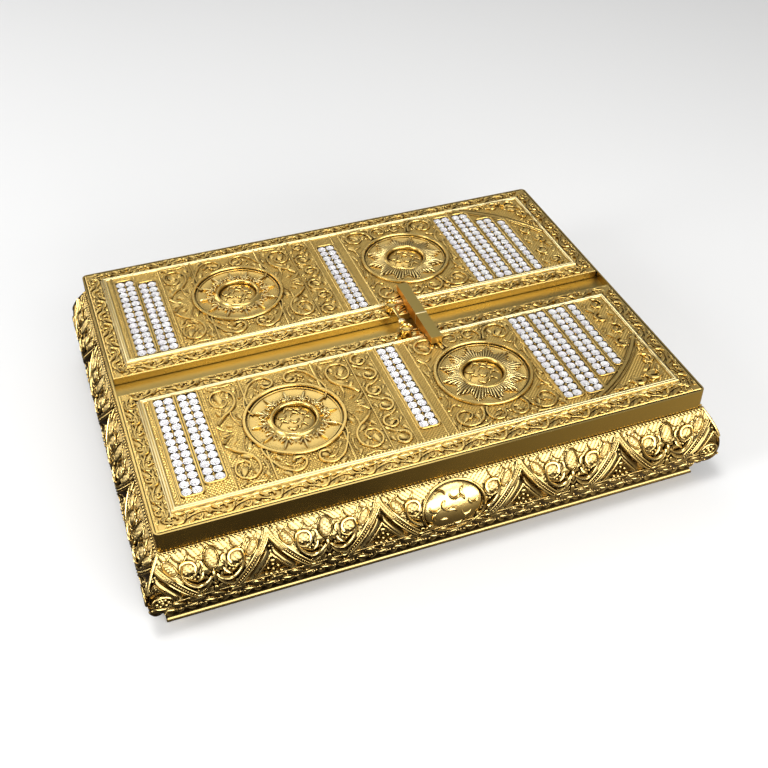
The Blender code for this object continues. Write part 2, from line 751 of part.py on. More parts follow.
def main():
    clear_scene()
    gold = make_material("cast_gold", GOLD, 0.32, 1.0)
    bright = make_material("polished_gold", BRIGHT_GOLD, 0.12, 1.0)
    stone = make_material("clear_stone", STONE_WHITE, 0.05, 0.0)
    build_body(gold)
    build_lid(bright)
    for side, word in ((1, "far"), (-1, "near")):
        build_leaf(word + "_door_leaf", side, gold)
        for name, x, y, columns, rows in stone_strips():
            build_strip(word + "_" + name, side, x, y, columns, rows, stone)
        build_staple("lock_staple_" + word, side, bright)
    build_lock_bar(bright)
    build_lock_rod(bright)


main()
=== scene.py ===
import math
import random

import bpy
import numpy as np
from mathutils import Matrix, Vector


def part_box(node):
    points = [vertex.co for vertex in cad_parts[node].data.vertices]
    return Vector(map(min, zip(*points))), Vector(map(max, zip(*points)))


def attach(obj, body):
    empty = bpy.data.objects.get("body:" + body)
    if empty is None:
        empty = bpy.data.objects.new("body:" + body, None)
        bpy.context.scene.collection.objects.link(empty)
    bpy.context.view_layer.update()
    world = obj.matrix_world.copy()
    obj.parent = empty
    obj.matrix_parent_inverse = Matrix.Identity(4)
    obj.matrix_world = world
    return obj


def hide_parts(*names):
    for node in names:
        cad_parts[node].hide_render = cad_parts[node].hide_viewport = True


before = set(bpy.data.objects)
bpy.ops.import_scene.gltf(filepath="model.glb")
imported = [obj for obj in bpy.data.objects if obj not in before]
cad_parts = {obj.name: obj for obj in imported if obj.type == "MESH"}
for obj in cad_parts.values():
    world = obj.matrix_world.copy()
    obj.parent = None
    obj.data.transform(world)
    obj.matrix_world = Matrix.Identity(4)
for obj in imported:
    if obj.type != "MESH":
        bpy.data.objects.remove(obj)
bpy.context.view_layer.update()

# Sizes below are in millimetres and angles in degrees. Places on a surface are (along, down or out, rise).
mm = 0.001
random.seed(11)


# helpers for picking, finishing and drawing

def pick(*things):
    if bpy.context.mode != "OBJECT":
        bpy.ops.object.mode_set(mode="OBJECT")
    bpy.ops.object.select_all(action="DESELECT")
    for thing in things:
        thing.select_set(True)
    if things:
        bpy.context.view_layer.objects.active = things[0]


def choose(thing, kind, test):
    # stays in edit mode with only the vertices, edges or faces that pass the test
    pick(thing)
    bpy.ops.object.mode_set(mode="EDIT")
    bpy.ops.mesh.select_mode(type=kind)
    bpy.ops.mesh.select_all(action="DESELECT")
    bpy.ops.object.mode_set(mode="OBJECT")
    mesh = thing.data
    for part in {"VERT": mesh.vertices, "EDGE": mesh.edges, "FACE": mesh.polygons}[kind]:
        part.select = bool(test(part))
    bpy.ops.object.mode_set(mode="EDIT")


def editAll(thing):
    pick(thing)
    bpy.ops.object.mode_set(mode="EDIT")
    bpy.ops.mesh.select_all(action="SELECT")


def endEdit():
    bpy.ops.object.mode_set(mode="OBJECT")


def addBox(low, high, unit=mm):
    pick()
    bpy.ops.mesh.primitive_cube_add(size=1.0, location=[(a + b) / 2 * unit for a, b in zip(low, high)])
    box = bpy.context.object
    box.scale = [(b - a) * unit for a, b in zip(low, high)]
    bpy.ops.object.transform_apply(location=True, scale=True)
    return box


def pushOut(rise):
    bpy.ops.mesh.extrude_region_move(TRANSFORM_OT_translate={"value": (0, 0, rise)})


def softenEdges(thing, width, segments):
    soften = thing.modifiers.new("edges", "BEVEL")
    soften.width = width * mm
    soften.segments = segments
    soften.limit_method = "ANGLE"
    bpy.ops.object.modifier_apply(modifier="edges")


def join(things):
    pick(*things)
    if len(things) > 1:
        bpy.ops.object.join()
    return bpy.context.object


def finishPiece(things, name, finishes, angle, recalculate=True, flatFaces=False, paint=None):
    # joins, names and finishes a piece; paint gives the number of the finish for a face
    thing = join(things)
    bpy.ops.object.transform_apply(location=True, rotation=True, scale=True)
    if recalculate:
        editAll(thing)
        bpy.ops.mesh.normals_make_consistent(inside=False)
        endEdit()
    if finishes:
        thing.data.materials.clear()
        for finish in finishes:
            thing.data.materials.append(finish)
    bpy.ops.object.shade_smooth_by_angle(angle=math.radians(angle))
    if flatFaces:
        even = thing.modifiers.new("evenShading", "WEIGHTED_NORMAL")
        even.keep_sharp = True
        bpy.ops.object.modifier_apply(modifier="evenShading")
    if paint:
        for face in thing.data.polygons:
            face.material_index = int(paint(face))
    thing.name = name
    thing.data.name = name
    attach(thing, "root")
    return thing


def layOn(thing, place):
    # a mesh modelled flat in millimetres is laid on a surface
    for vertex in thing.data.vertices:
        vertex.co = place(*vertex.co)
    return thing


def drawStrokes(paths, place):
    # each path is a list of (along, out, rise, radius)
    pick()
    bpy.ops.curve.primitive_bezier_curve_add(radius=mm)
    pen = bpy.context.object
    line = pen.data
    line.splines.clear()
    line.dimensions = "3D"
    line.bevel_depth = mm
    line.bevel_resolution = 1
    line.use_fill_caps = True
    for path in paths:
        closed = path[0][:2] == path[-1][:2]
        points = path[:-1] if closed else path
        spline = line.splines.new("POLY")
        spline.points.add(len(points) - 1)
        for point, (u, v, rise, radius) in zip(spline.points, points):
            point.co = (*place(u, v, rise), 1.0)
            point.radius = radius
        spline.use_cyclic_u = closed
    bpy.ops.object.convert(target="MESH")
    return bpy.context.object


def stroke(points, thick, thin=None, lift=0.25, ends="tail"):
    # gives a flat path its rise and a radius that tapers towards one end, both ends or neither
    thin = thick * 0.35 if thin is None else thin
    count = len(points) - 1
    result = []
    for index, (u, v) in enumerate(points):
        share = index / count
        weight = {"tail": 1 - share, "both": math.sin(math.pi * share) ** 0.6, "even": 1.0}[ends]
        radius = thin + (thick - thin) * weight
        result.append((u, v, radius * lift, radius))
    return result


def flow(points, steps=4):
    # smooth path through a few points
    closed = points[0] == points[-1]
    padded = [points[-2 if closed else 0], *points, points[1 if closed else -1]]
    result = []
    for a, b, c, d in zip(padded, padded[1:], padded[2:], padded[3:]):
        for step in range(steps):
            t = step / steps
            weights = (-t + 2 * t * t - t ** 3, 2 - 5 * t * t + 3 * t ** 3,
                       t + 4 * t * t - 3 * t ** 3, t ** 3 - t * t)
            result.append(tuple(0.5 * sum(w * p[k] for w, p in zip(weights, (a, b, c, d))) for k in (0, 1)))
    result.append(points[-1])
    return result


def spiral(centre, outer, inner, start, sweep, steps=12):
    result = []
    for step in range(steps + 1):
        share = step / steps
        reach = outer + (inner - outer) * share
        angle = math.radians(start + sweep * share)
        result.append((centre[0] + reach * math.cos(angle), centre[1] + reach * math.sin(angle)))
    return result


def circle(centre, radiusU, radiusV=None, steps=48):
    radiusV = radiusU if radiusV is None else radiusV
    points = [(centre[0] + radiusU * math.cos(math.tau * i / steps),
               centre[1] + radiusV * math.sin(math.tau * i / steps)) for i in range(steps)]
    return points + points[:1]


def shifted(points, distance):
    # the same path moved sideways
    result = []
    for index, (u, v) in enumerate(points):
        before = points[max(index - 1, 0)]
        after = points[min(index + 1, len(points) - 1)]
        du, dv = after[0] - before[0], after[1] - before[1]
        size = math.hypot(du, dv) or 1.0
        result.append((u - dv / size * distance, v + du / size * distance))
    return result


def evenly(points, pitch):
    # places at an even pitch along a path
    result = []
    left = pitch / 2
    for (u0, v0), (u1, v1) in zip(points, points[1:]):
        length = math.hypot(u1 - u0, v1 - v0)
        while left < length:
            share = left / length
            result.append((u0 + (u1 - u0) * share, v0 + (v1 - v0) * share))
            left += pitch
        left -= length
    return result


def spot(place, u, v, size, turn=0.0, rise=0.0):
    # matrix that sets a small shape on a surface, turned in its plane
    here = Vector(place(u, v, rise))
    along = (Vector(place(u + 0.2, v, rise)) - here).normalized()
    across = (Vector(place(u, v + 0.2, rise)) - here).normalized()
    out = (Vector(place(u, v, rise + 0.2)) - here).normalized()
    across = (across - along * across.dot(along)).normalized()
    cosine, sine = math.cos(math.radians(turn)), math.sin(math.radians(turn))
    columns = ((along * cosine + across * sine) * size[0] * mm,
               (across * cosine - along * sine) * size[1] * mm, out * size[2] * mm, here)
    matrix = Matrix.Identity(4)
    for index, column in enumerate(columns):
        matrix.col[index][:3] = column
    return matrix


def spread(seed, spots):
    # one mesh with a copy of the seed at each spot; the seed goes
    shape = np.array([vertex.co for vertex in seed.data.vertices])
    faces = [tuple(face.vertices) for face in seed.data.polygons]
    points, polygons = [], []
    for index, matrix in enumerate(spots):
        turn = np.array(matrix)
        points.append(shape @ turn[:3, :3].T + turn[:3, 3])
        first = index * len(shape)
        polygons.extend(tuple(first + corner for corner in face) for face in faces)
    mesh = bpy.data.meshes.new(seed.name)
    mesh.from_pydata(np.concatenate(points), [], polygons)
    thing = bpy.data.objects.new(seed.name, mesh)
    bpy.context.scene.collection.objects.link(thing)
    bpy.data.objects.remove(seed, do_unlink=True)
    return thing


def beadSeed(detail=1):
    pick()
    bpy.ops.mesh.primitive_ico_sphere_add(subdivisions=detail, radius=1.0)
    return bpy.context.object


def petalSeed():
    # pointed leaf with a crease along its middle
    pick()
    bpy.ops.mesh.primitive_uv_sphere_add(segments=8, ring_count=6, radius=1.0, rotation=(0, math.pi / 2, 0))
    seed = bpy.context.object
    bpy.ops.object.transform_apply(rotation=True)
    for vertex in seed.data.vertices:
        x, y, z = vertex.co
        taper = (1 - max(x, 0.0)) ** 0.35 if x < 1 else 0.0
        crease = 0.45 if abs(y) < 0.1 and z > 0.1 else 1.0
        vertex.co = (x, y * taper, z * crease)
    return seed


def sizedDome(centre, radiusU, radiusV, rise, segments, rings, base):
    # the upper half of a ball, closed below, still flat in millimetres
    pick()
    bpy.ops.mesh.primitive_uv_sphere_add(segments=segments, ring_count=rings, radius=1.0)
    dome = bpy.context.object
    editAll(dome)
    bpy.ops.mesh.bisect(plane_co=(0, 0, 0), plane_no=(0, 0, 1), clear_inner=True, use_fill=True)
    endEdit()
    return layOn(dome, lambda x, y, z: (centre[0] + x * radiusU, centre[1] + y * radiusV, z * rise + base))


def domeTop(place, centre, radiusU, radiusV, high, base):
    # places on top of such a dome
    def top(u, v, rise):
        share = ((u - centre[0]) / radiusU) ** 2 + ((v - centre[1]) / radiusV) ** 2
        return place(u, v, high * math.sqrt(max(1 - share, 0.0)) + base + rise)

    return top


def turned(profile, centre, steps=96):
    # a profile of (radius, rise) spun round an upright axis, still flat in millimetres
    mesh = bpy.data.meshes.new("profile")
    mesh.from_pydata([(centre[0] + radius, centre[1], rise) for radius, rise in profile],
                     [(i, i + 1) for i in range(len(profile) - 1)], [])
    thing = bpy.data.objects.new("profile", mesh)
    bpy.context.scene.collection.objects.link(thing)
    editAll(thing)
    bpy.ops.mesh.spin(steps=steps, angle=math.tau, center=(centre[0], centre[1], 0), axis=(0, 0, 1))
    bpy.ops.mesh.select_all(action="SELECT")
    bpy.ops.mesh.remove_doubles(threshold=0.01)
    bpy.ops.mesh.normals_make_consistent(inside=False)
    endEdit()
    return thing


# finishes

def newFinish(name, colour, roughness, metallic=1.0):
    # a new material, its shader, and a function that adds a node and gives back one of its outputs
    finish = bpy.data.materials.new(name)
    finish.use_nodes = True
    tree = finish.node_tree

    def fill(node, inputs):
        for key, value in inputs.items():
            if isinstance(value, bpy.types.NodeSocket):
                tree.links.new(value, node.inputs[key])
            else:
                node.inputs[key].default_value = value

    def add(kind, output, inputs, **settings):
        node = tree.nodes.new("ShaderNode" + kind)
        for key, value in settings.items():
            setattr(node, key, value)
        fill(node, inputs)
        return node.outputs[output]

    def shade(inputs):
        fill(tree.nodes["Principled BSDF"], inputs)

    shade({"Base Color": (*colour, 1.0), "Roughness": roughness, "Metallic": metallic})
    return finish, add, shade


def goldFinish(name, bright, deep, roughness, recess, grain, grainDepth, undersideShade):
    # bright gold on the raised places; brown patina and painted shade in the recesses, and painted shade on
    # the undersides
    finish, add, shade = newFinish(name, bright, roughness[0])
    place = add("TexCoord", "Object", {})
    warm = [channel * share for channel, share in zip(bright, (0.96, 0.84, 0.60))]
    tone = add("TexNoise", "Fac", {"Vector": place, "Scale": 38.0, "Detail": 3.0})
    gold = add("Mix", "Result", {"Factor": tone, "A": (*bright, 1.0), "B": (*warm, 1.0)}, data_type="RGBA")
    # painted shade: the ambient occlusion darkens recesses towards the deep colour, partly patina and partly
    # shade
    hollowShade = add("AmbientOcclusion", "AO", {"Distance": recess * mm}, samples=6)
    openness = add("MapRange", "Result", {"Value": hollowShade, "From Min": 0.30, "From Max": 0.88})
    # painted shade: faces that look down are darkened too, as shade falls on the undersides
    upward = add("SeparateXYZ", "Z", {"Vector": add("NewGeometry", "Normal", {})})
    lit = add("MapRange", "Result", {"Value": upward, "From Min": -0.55, "From Max": 0.30,
                                     "To Min": 1.0 - undersideShade})
    unshaded = add("Math", "Value", {0: openness, 1: lit}, operation="MULTIPLY")
    patinaAndShade = add("Mix", "Result", {"Factor": unshaded, "A": (*deep, 1.0), "B": gold}, data_type="RGBA")
    smudge = add("TexNoise", "Fac", {"Vector": place, "Scale": 95.0, "Detail": 5.0})
    rough = add("MapRange", "Result", {"Value": smudge, "To Min": roughness[0], "To Max": roughness[1]})
    pits = add("TexVoronoi", "Distance", {"Vector": place, "Scale": grain})
    bump = add("Bump", "Normal", {"Strength": 0.6, "Distance": grainDepth * mm, "Height": pits})
    shade({"Base Color": patinaAndShade, "Roughness": rough, "Normal": bump})
    return finish


def polishedFinish(name, bright, uprightPaintedTone, roughness):
    # mirror gold with fine wiping scratches and faint smudges; faces that look up and upright faces take
    # different colours, painted light and shade by which way they face
    finish, add, shade = newFinish(name, bright, 0.1)
    place = add("TexCoord", "Object", {})
    stretch = add("Mapping", "Vector", {"Vector": place, "Scale": (14.0, 420.0, 420.0)})
    scratch = add("TexNoise", "Fac", {"Vector": stretch, "Scale": 2.0, "Detail": 4.0})
    smudge = add("TexNoise", "Fac", {"Vector": place, "Scale": 22.0, "Detail": 4.0})
    rough = add("MapRange", "Result", {"Value": smudge, "From Min": 0.35, "From Max": 0.75,
                                       "To Min": roughness[0], "To Max": roughness[1]})
    # painted light and shade: the colour changes with how far a face looks up
    upward = add("SeparateXYZ", "Z", {"Vector": add("NewGeometry", "Normal", {})})
    lit = add("MapRange", "Result", {"Value": upward, "From Min": 0.05, "From Max": 0.55})
    tone = add("Mix", "Result", {"Factor": lit, "A": (*uprightPaintedTone, 1.0), "B": (*bright, 1.0)}, data_type="RGBA")
    stain = add("Mix", "Result", {"Factor": smudge, "A": tone, "B": (0.86, 0.80, 0.66, 1.0)},
                data_type="RGBA", blend_type="MULTIPLY")
    bump = add("Bump", "Normal", {"Strength": 0.10, "Distance": 0.05 * mm, "Height": scratch})
    shade({"Base Color": stain, "Roughness": rough, "Normal": bump})
    return finish


def foilFinish():
    # silvered backing of the stones, each a little warmer or cooler
    finish, add, shade = newFinish("silveredBacking", (0.99, 0.98, 0.97), 0.22, 0.2)
    cells = add("TexNoise", "Fac", {"Vector": add("TexCoord", "Object", {}), "Scale": 260.0})
    tint = add("ValToRGB", "Color", {"Fac": cells})
    cool, warm = tint.node.color_ramp.elements
    cool.position, cool.color = 0.36, (0.90, 0.86, 0.88, 1.0)
    warm.position, warm.color = 0.60, (1.0, 0.99, 0.95, 1.0)
    shade({"Base Color": tint})
    return finish


def stoneFinish():
    finish, _, shade = newFinish("clearStone", (0.97, 0.97, 1.0), 0.02, 0.0)
    shade({"Transmission Weight": 1.0, "IOR": 1.55, "Alpha": 0.30})
    return finish


# bright, deep (patina and painted shade of the recesses and undersides), roughness, reach of the recesses and
# scale and depth (mm) of the grain, share of the painted underside shade
castGold = goldFinish("castGold", (0.90, 0.69, 0.29), (0.050, 0.028, 0.007),
                      (0.15, 0.28), 2.2, 900, 0.05, 0.85)
leafGold = goldFinish("leafGold", (0.86, 0.64, 0.23), (0.075, 0.038, 0.007),
                      (0.20, 0.34), 2.2, 1300, 0.05, 0.5)
groundGold = goldFinish("groundGold", (0.74, 0.54, 0.18), (0.075, 0.038, 0.007),
                        (0.24, 0.38), 2, 1500, 0.08, 0.5)
hatchGold = goldFinish("hatchGold", (0.84, 0.66, 0.30), (0.10, 0.055, 0.012),
                       (0.38, 0.50), 1.4, 900, 0.05, 0.85)
# colour of the faces that look up, colour of the upright ones (the difference between them is painted light
# and shade), roughness
polishedGold = polishedFinish("polishedGold", (0.84, 0.62, 0.22), (0.60, 0.42, 0.12), (0.12, 0.30))
# darker gold for the floor of the lid's channel: painted shade in the channel
channelShadeGold = polishedFinish("channelShadeGold", (0.42, 0.32, 0.11), (0.84, 0.62, 0.20), (0.26, 0.38))
# lock bar gold: its upright sides orange as a painted reflection of the gold round it, its top darker
brushedGoldPaintedGlow = polishedFinish("brushedGoldPaintedGlow", (0.46, 0.35, 0.11), (0.86, 0.42, 0.05), (0.34, 0.48))
seamGold = polishedFinish("seamGold", (1, 0.90, 0.58), (1, 0.80, 0.40), (0.30, 0.40))
starGold = polishedFinish("starGold", (0.95, 0.76, 0.34), (0.78, 0.58, 0.22), (0.20, 0.34))
# paler gold of the leaf mouldings: a painted highlight
mouldingHighlightGold = polishedFinish("mouldingHighlightGold", (1, 0.86, 0.48), (0.94, 0.72, 0.30), (0.24, 0.36))
# very dark gold for the coves, the neck and foot and the plain side skin: painted shade
paintedShadeGold = polishedFinish("paintedShadeGold", (0.40, 0.30, 0.12), (0.20, 0.13, 0.045), (0.12, 0.22))
silveredBacking = foilFinish()
clearStone = stoneFinish()
print("finishes ready")


# box body

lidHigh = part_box("lid")[1] / mm
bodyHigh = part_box("box_body")[1] / mm

bodyDesign = {
    "halfLength": lidHigh.x, "halfWidth": lidHigh.y, "rim": bodyHigh.z,
    "reach": 10.0, "bulgeHeight": 26.0, "neckHeight": 10.5, "neckReach": 1.0,
    "wall": 2.2, "floorTop": 5.5, "footReach": 2.2, "footHeight": 6.0, "footWall": 5.0, "recess": 2.5,
    "skinGap": 1.9, "reachLimit": 11.25,
}


def bulge(steps):
    # profile from the rim down to the neck as (reach, height)
    d = bodyDesign
    upper, lower = d["rim"] - d["bulgeHeight"], d["bulgeHeight"] - d["neckHeight"]
    turns = [(step, math.pi / 2 * step / steps) for step in range(steps + 1)]
    points = [(d["reach"] * math.sin(turn), d["rim"] - upper * step / steps) for step, turn in turns]
    return points + [(d["neckReach"] + (d["reach"] - d["neckReach"]) * math.cos(turn),
                      d["bulgeHeight"] - lower * math.sin(turn)) for step, turn in turns[1:]]


profileTable = np.array(bulge(40))
profileLength = np.concatenate([[0.0], np.cumsum(np.hypot(*np.diff(profileTable, axis=0).T))])


def onBulge(down):
    # reach, height and the outward direction at a length down the bulge
    down = min(max(down, 0.0), profileLength[-1] * 0.999)
    reach = np.interp(down, profileLength, profileTable[:, 0])
    height = np.interp(down, profileLength, profileTable[:, 1])
    index = min(int(np.searchsorted(profileLength, down, side="right")), len(profileLength) - 1)
    run = profileTable[index] - profileTable[index - 1]
    run = run / np.hypot(*run)
    return reach, height, -run[1], run[0]


def onSide(side, along, out, height):
    # sides 0 front, 1 right, 2 back, 3 left; out is counted from the lid's edge
    outX, outY = ((0, -1), (1, 0), (0, 1), (-1, 0))[side]
    out += bodyDesign["halfWidth"] if outX == 0 else bodyDesign["halfLength"]
    return ((outX * out - outY * along) * mm, (outY * out + outX * along) * mm, height * mm)


def sidePlace(side, spare=0.0):
    # maps (along, down, rise) in millimetres to a point in metres
    def place(along, down, rise):
        reach, height, normalOut, normalUp = onBulge(down)
        out = min(reach + normalOut * rise, bodyDesign["reachLimit"] - spare)
        return onSide(side, along, out, height + normalUp * rise)

    return place


def makeShell():
    # one wall drawn from the floor up the inside, over the rim and down the outside to the foot
    d = bodyDesign
    rim, neck, footTop, floorTop = d["rim"], d["neckHeight"], d["footHeight"], d["floorTop"]
    skin = [(reach - d["skinGap"], height) for reach, height in bulge(8)]
    skin[-1] = (d["neckReach"] - 0.35, neck)
    inner = [(reach - d["wall"], height) for reach, height in bulge(8) if height > floorTop + 1]
    inner[0] = (-d["wall"], rim)
    inner += [(inner[-1][0], floorTop + 1.2), (inner[-1][0] - 1.2, floorTop)]
    frieze = [(-0.3, rim), (0.3, rim - 0.15), (0.55, rim - 0.6), (0.55, rim - 2.2), (1.0, rim - 2.6)]
    foot = [(0.9, neck - 0.9), (1.5, neck - 1.9), (2.1, footTop + 1.9), (2.2, footTop + 0.9),
            (1.7, footTop + 0.2), (1.2, footTop - 0.7), (1.0, footTop - 2.4), (1.5, 2.2), (2.1, 1.5),
            (2.2, 0.9), (2.1, 0.3), (1.8, 0.0), (-d["footWall"], 0.0), (-d["footWall"] - 1.0, d["recess"])]
    rings = inner[::-1] + frieze + skin[2:] + foot
    pick()
    bpy.ops.mesh.primitive_plane_add(size=1.0, location=(0, 0, rings[0][1] * mm))
    shell = bpy.context.object
    bpy.ops.object.transform_apply(location=True)
    editAll(shell)
    spanX, spanY, heightNow = 0.5, 0.5, rings[0][1]
    for index, (reach, height) in enumerate(rings):
        nextX, nextY = (d["halfLength"] + reach) * mm, (d["halfWidth"] + reach) * mm
        if index == 1:
            bpy.ops.mesh.select_mode(type="EDGE")
        if index:
            bpy.ops.mesh.extrude_edges_move()
        bpy.ops.transform.resize(value=(nextX / spanX, nextY / spanY, 1), center_override=(0, 0, 0))
        bpy.ops.transform.translate(value=(0, 0, (height - heightNow) * mm))
        spanX, spanY, heightNow = nextX, nextY, height
    bpy.ops.mesh.edge_face_add()
    endEdit()

    # faces of the cove under the rim and of the neck and foot take the very dark gold: painted shade
    def inCove(face):
        height = face.center.z / mm
        return face.normal.z > -0.9 and (rim - 3.0 < height < rim - 0.1 or 1.8 < height < neck)

    finishPiece([shell], "boxShell", [castGold, paintedShadeGold], angle=35, paint=inCove)
    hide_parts("box_body")


sideDesign = {
    "longUnits": 5, "shortUnits": 4, "wideRatio": 1.36,
    "bandTop": 2.3, "bandBottom": 26.8, "bandSpread": 18.5, "bandCurve": 1.35, "bandHalf": 2.0,
    "railRadius": 0.5, "beadPitch": 1.4, "beadRadius": 0.62,
    "lobeTop": 14.6, "lobeSpread": 9.7, "lobeCurve": 1.2, "coveDepth": 1.7,
    "cell": 0.66, "hatch": 0.42,
    "medallion": (17.0, 14.6), "medallionDown": 17.4, "medallionRise": 1.2, "medallionDrop": 1.7,
    # hatched lobes as (from the peak, down, half length, half width, lean)
    "lobes": ((8.8, 9.0, 4.6, 2.2, 56.0), (17.2, 12.0, 4.2, 3.5, 30.0)),
    "middleLeaf": (0.0, 9.0, 3.3, 5.6, 0.0), "lobeRise": 1.15,
    # height of the relief skin on the bands, the ground, the bowl, the pointed lobe and the medallion
    "bandRise": 0.35, "groundRise": 0.15, "bowlRise": -1.1, "pointedRise": -1.2, "medallionFloor": -1.7,
}


def unitEdges(side):
    count = sideDesign["longUnits"] if side % 2 == 0 else sideDesign["shortUnits"]
    half = bodyDesign["halfLength"] if side % 2 == 0 else bodyDesign["halfWidth"]
    widths = [sideDesign["wideRatio"] if count % 2 and i == count // 2 else 1.0 for i in range(count)]
    length = 2 * half + bodyDesign["reach"]
    edges = [-length / 2]
    for width in widths:
        edges.append(edges[-1] + length * width / sum(widths))
    return edges, widths, half


def bandAcross(down):
    # how far the band's middle is from its peak at a length down the side
    share = (down - sideDesign["bandTop"]) / (sideDesign["bandBottom"] - sideDesign["bandTop"])
    return sideDesign["bandSpread"] * max(share, 0.0) ** sideDesign["bandCurve"]


def lobeAcross(down):
    share = (down - sideDesign["lobeTop"]) / (sideDesign["bandBottom"] - sideDesign["lobeTop"])
    return sideDesign["lobeSpread"] * max(share, 0.0) ** sideDesign["lobeCurve"]


def inLobe(lobe, u, v):
    # 0 in the middle of a lobe, 1 on its edge
    lean = math.radians(lobe[4])
    du, dv = u - lobe[0], v - lobe[1]
    x = du * math.cos(lean) + dv * math.sin(lean)
    y = dv * math.cos(lean) - du * math.sin(lean)
    return (x / lobe[2]) ** 2 + (y / lobe[3]) ** 2


def pitShare(row, column):
    # staggered pits of the cross hatching, four cells apart
    place = (row % 4, column % 4)
    return 1.0 if place in ((0, 0), (2, 2)) else 0.4 if (row + column) % 2 else 0.0


def isHatched(gap, down):
    # the cross hatched ground between the bands, apart from the bowl of the bouquet
    d = sideDesign
    inBowl = down > 13.0 and 14.2 < gap < 21.0
    return gap > bandAcross(down) + d["bandHalf"] * 1.3 and d["bandTop"] < down < 15.0 and not inBowl


def skinRise(gap, aside, wide, down, checker):
    # relief of a side, from the distances to the nearest peak and to the middle of the unit
    d = sideDesign
    middle = bandAcross(down)
    slope = bandAcross(down + 0.5) - bandAcross(down - 0.5)
    half = d["bandHalf"] * math.hypot(1.0, slope)
    pit = -d["hatch"] * checker
    if down > d["bandBottom"] + 1.5:
        return 0.0
    if wide and (aside / d["medallion"][0]) ** 2 + ((down - d["medallionDown"]) / d["medallion"][1]) ** 2 < 1:
        return d["medallionFloor"]
    if gap > middle + half:
        lobes = [(lobe, gap) for lobe in d["lobes"]] + ([] if wide else [(d["middleLeaf"], aside)])
        for lobe, u in lobes:
            share = inLobe(lobe, u, down)
            if share < 1:
                return d["lobeRise"] * math.sqrt(1 - share) + d["groundRise"] + pit
        return d["bowlRise"] if down > 9.5 and gap > 14.2 else d["groundRise"] + pit
    if gap > middle - half or down < d["bandTop"] + 2.2:
        return d["bandRise"]
    lobe = lobeAcross(down)
    if gap < lobe:
        return pit * 0.8 + d["pointedRise"]
    share = (gap - lobe) / max(middle - half - lobe, 0.1)
    return -d["coveDepth"] * math.sin(math.pi * share) ** 0.7


def makeSkin(side, name):
    edges, widths, half = unitEdges(side)
    units = [((start + end) / 2, width > 1) for start, end, width in zip(edges, edges[1:], widths)]
    place = sidePlace(side)
    depth = profileLength[-1] * 0.985
    across, deep = int(2 * half / sideDesign["cell"]), int(depth / sideDesign["cell"])
    pick()
    bpy.ops.mesh.primitive_grid_add(x_subdivisions=across, y_subdivisions=deep, size=1.0)
    skin = bpy.context.object
    hatched = []
    for vertex in skin.data.vertices:
        column, row = round((vertex.co.x + 0.5) * across), round((0.5 - vertex.co.y) * deep)
        down = 1.2 + (depth - 1.2) * row / deep
        limit = half + onBulge(down)[0]
        along = 2 * limit * (column / across - 0.5)
        gap = min(abs(along - edge) for edge in edges)
        aside, wide = min((abs(along - middle), wide) for middle, wide in units)
        rise = skinRise(gap, aside, wide, down, pitShare(row, column))
        vertex.co = place(along, down, rise * min(1.0, (limit - abs(along)) / 1.5))
        hatched.append(isHatched(gap, down))
    # outside the cross hatching the skin takes the very dark gold: painted shade
    finishPiece([skin], name + "Skin", [paintedShadeGold, hatchGold], angle=24, recalculate=False,
                paint=lambda face: all(hatched[index] for index in face.vertices))


def outlineOf(lobe):
    lean = math.radians(lobe[4])
    return [(lobe[0] + (lobe[2] + 0.15) * x * math.cos(lean) - (lobe[3] + 0.15) * y * math.sin(lean),
             lobe[1] + (lobe[2] + 0.15) * x * math.sin(lean) + (lobe[3] + 0.15) * y * math.cos(lean))
            for x, y in circle((0, 0), 1.0, steps=20)]


# lines of the bouquet in the bowl between two peaks as (thick, thin, lift, ends, points): the first are
# measured from the peak, the others from the middle of the unit
bouquetFromPeak = (
    (1.0, 0.7, 0.6, "even", ((14.4, 8.6), (13.4, 12.0), (14.4, 16.4), (17.3, 20.0), (21.0, 21.9),
                             (25.2, 20.7), (28.0, 17.8))),
    (0.9, 0.55, 0.6, "even", ((13.7, 11.4), (13.9, 8.6), (16.6, 7.5), (19.6, 8.4), (20.9, 11.0),
                              (19.8, 13.6))),
    (0.5, 0.4, 0.6, "even", ((10.4, 2.6), (12.0, 5.8), (15.2, 7.2), (17.6, 5.4), (18.5, 2.8))),
    (0.5, 0.4, 0.6, "even", ((5.0, 2.6), (6.4, 5.0), (8.6, 4.6), (10.4, 2.6))),
)
bouquetFromMiddle = (
    (0.9, 0.4, 0.5, "tail", ((6.9, 8.4), (5.2, 9.2), (4.8, 11.8), (6.4, 14.2), (5.4, 17.4), (2.6, 19.0))),
    (0.36, 0.3, 0.6, "even", ((10.5, 2.8), (8.4, 6.4), (5.0, 6.2), (2.4, 3.4), (0.0, 2.4))),
    (0.6, 0.4, 0.5, "even", ((0.0, 23.2), (2.4, 20.2), (4.0, 17.4))),
)


def unitStrokes(middle, span, wide):
    fromPeak = [stroke(flow(points), *manner) for *manner, points in bouquetFromPeak]
    fromPeak += [stroke(outlineOf(lobe), 0.58, 0.58, 0.7, "even") for lobe in sideDesign["lobes"]]
    fromMiddle = [stroke(flow(points), *manner) for *manner, points in bouquetFromMiddle]
    fromMiddle.append(stroke(outlineOf(sideDesign["middleLeaf"]), 0.62, 0.62, 0.7, "even"))
    paths = []
    for sign in (-1, 1):
        for path in fromPeak:
            kept = [(middle + sign * (span - g), v, h, r) for g, v, h, r in path if not wide or g < 21.5]
            paths += [kept] if len(kept) > 2 else []
        if not wide:
            paths += [[(middle + sign * u, v, h, r) for u, v, h, r in path] for path in fromMiddle]
    return paths


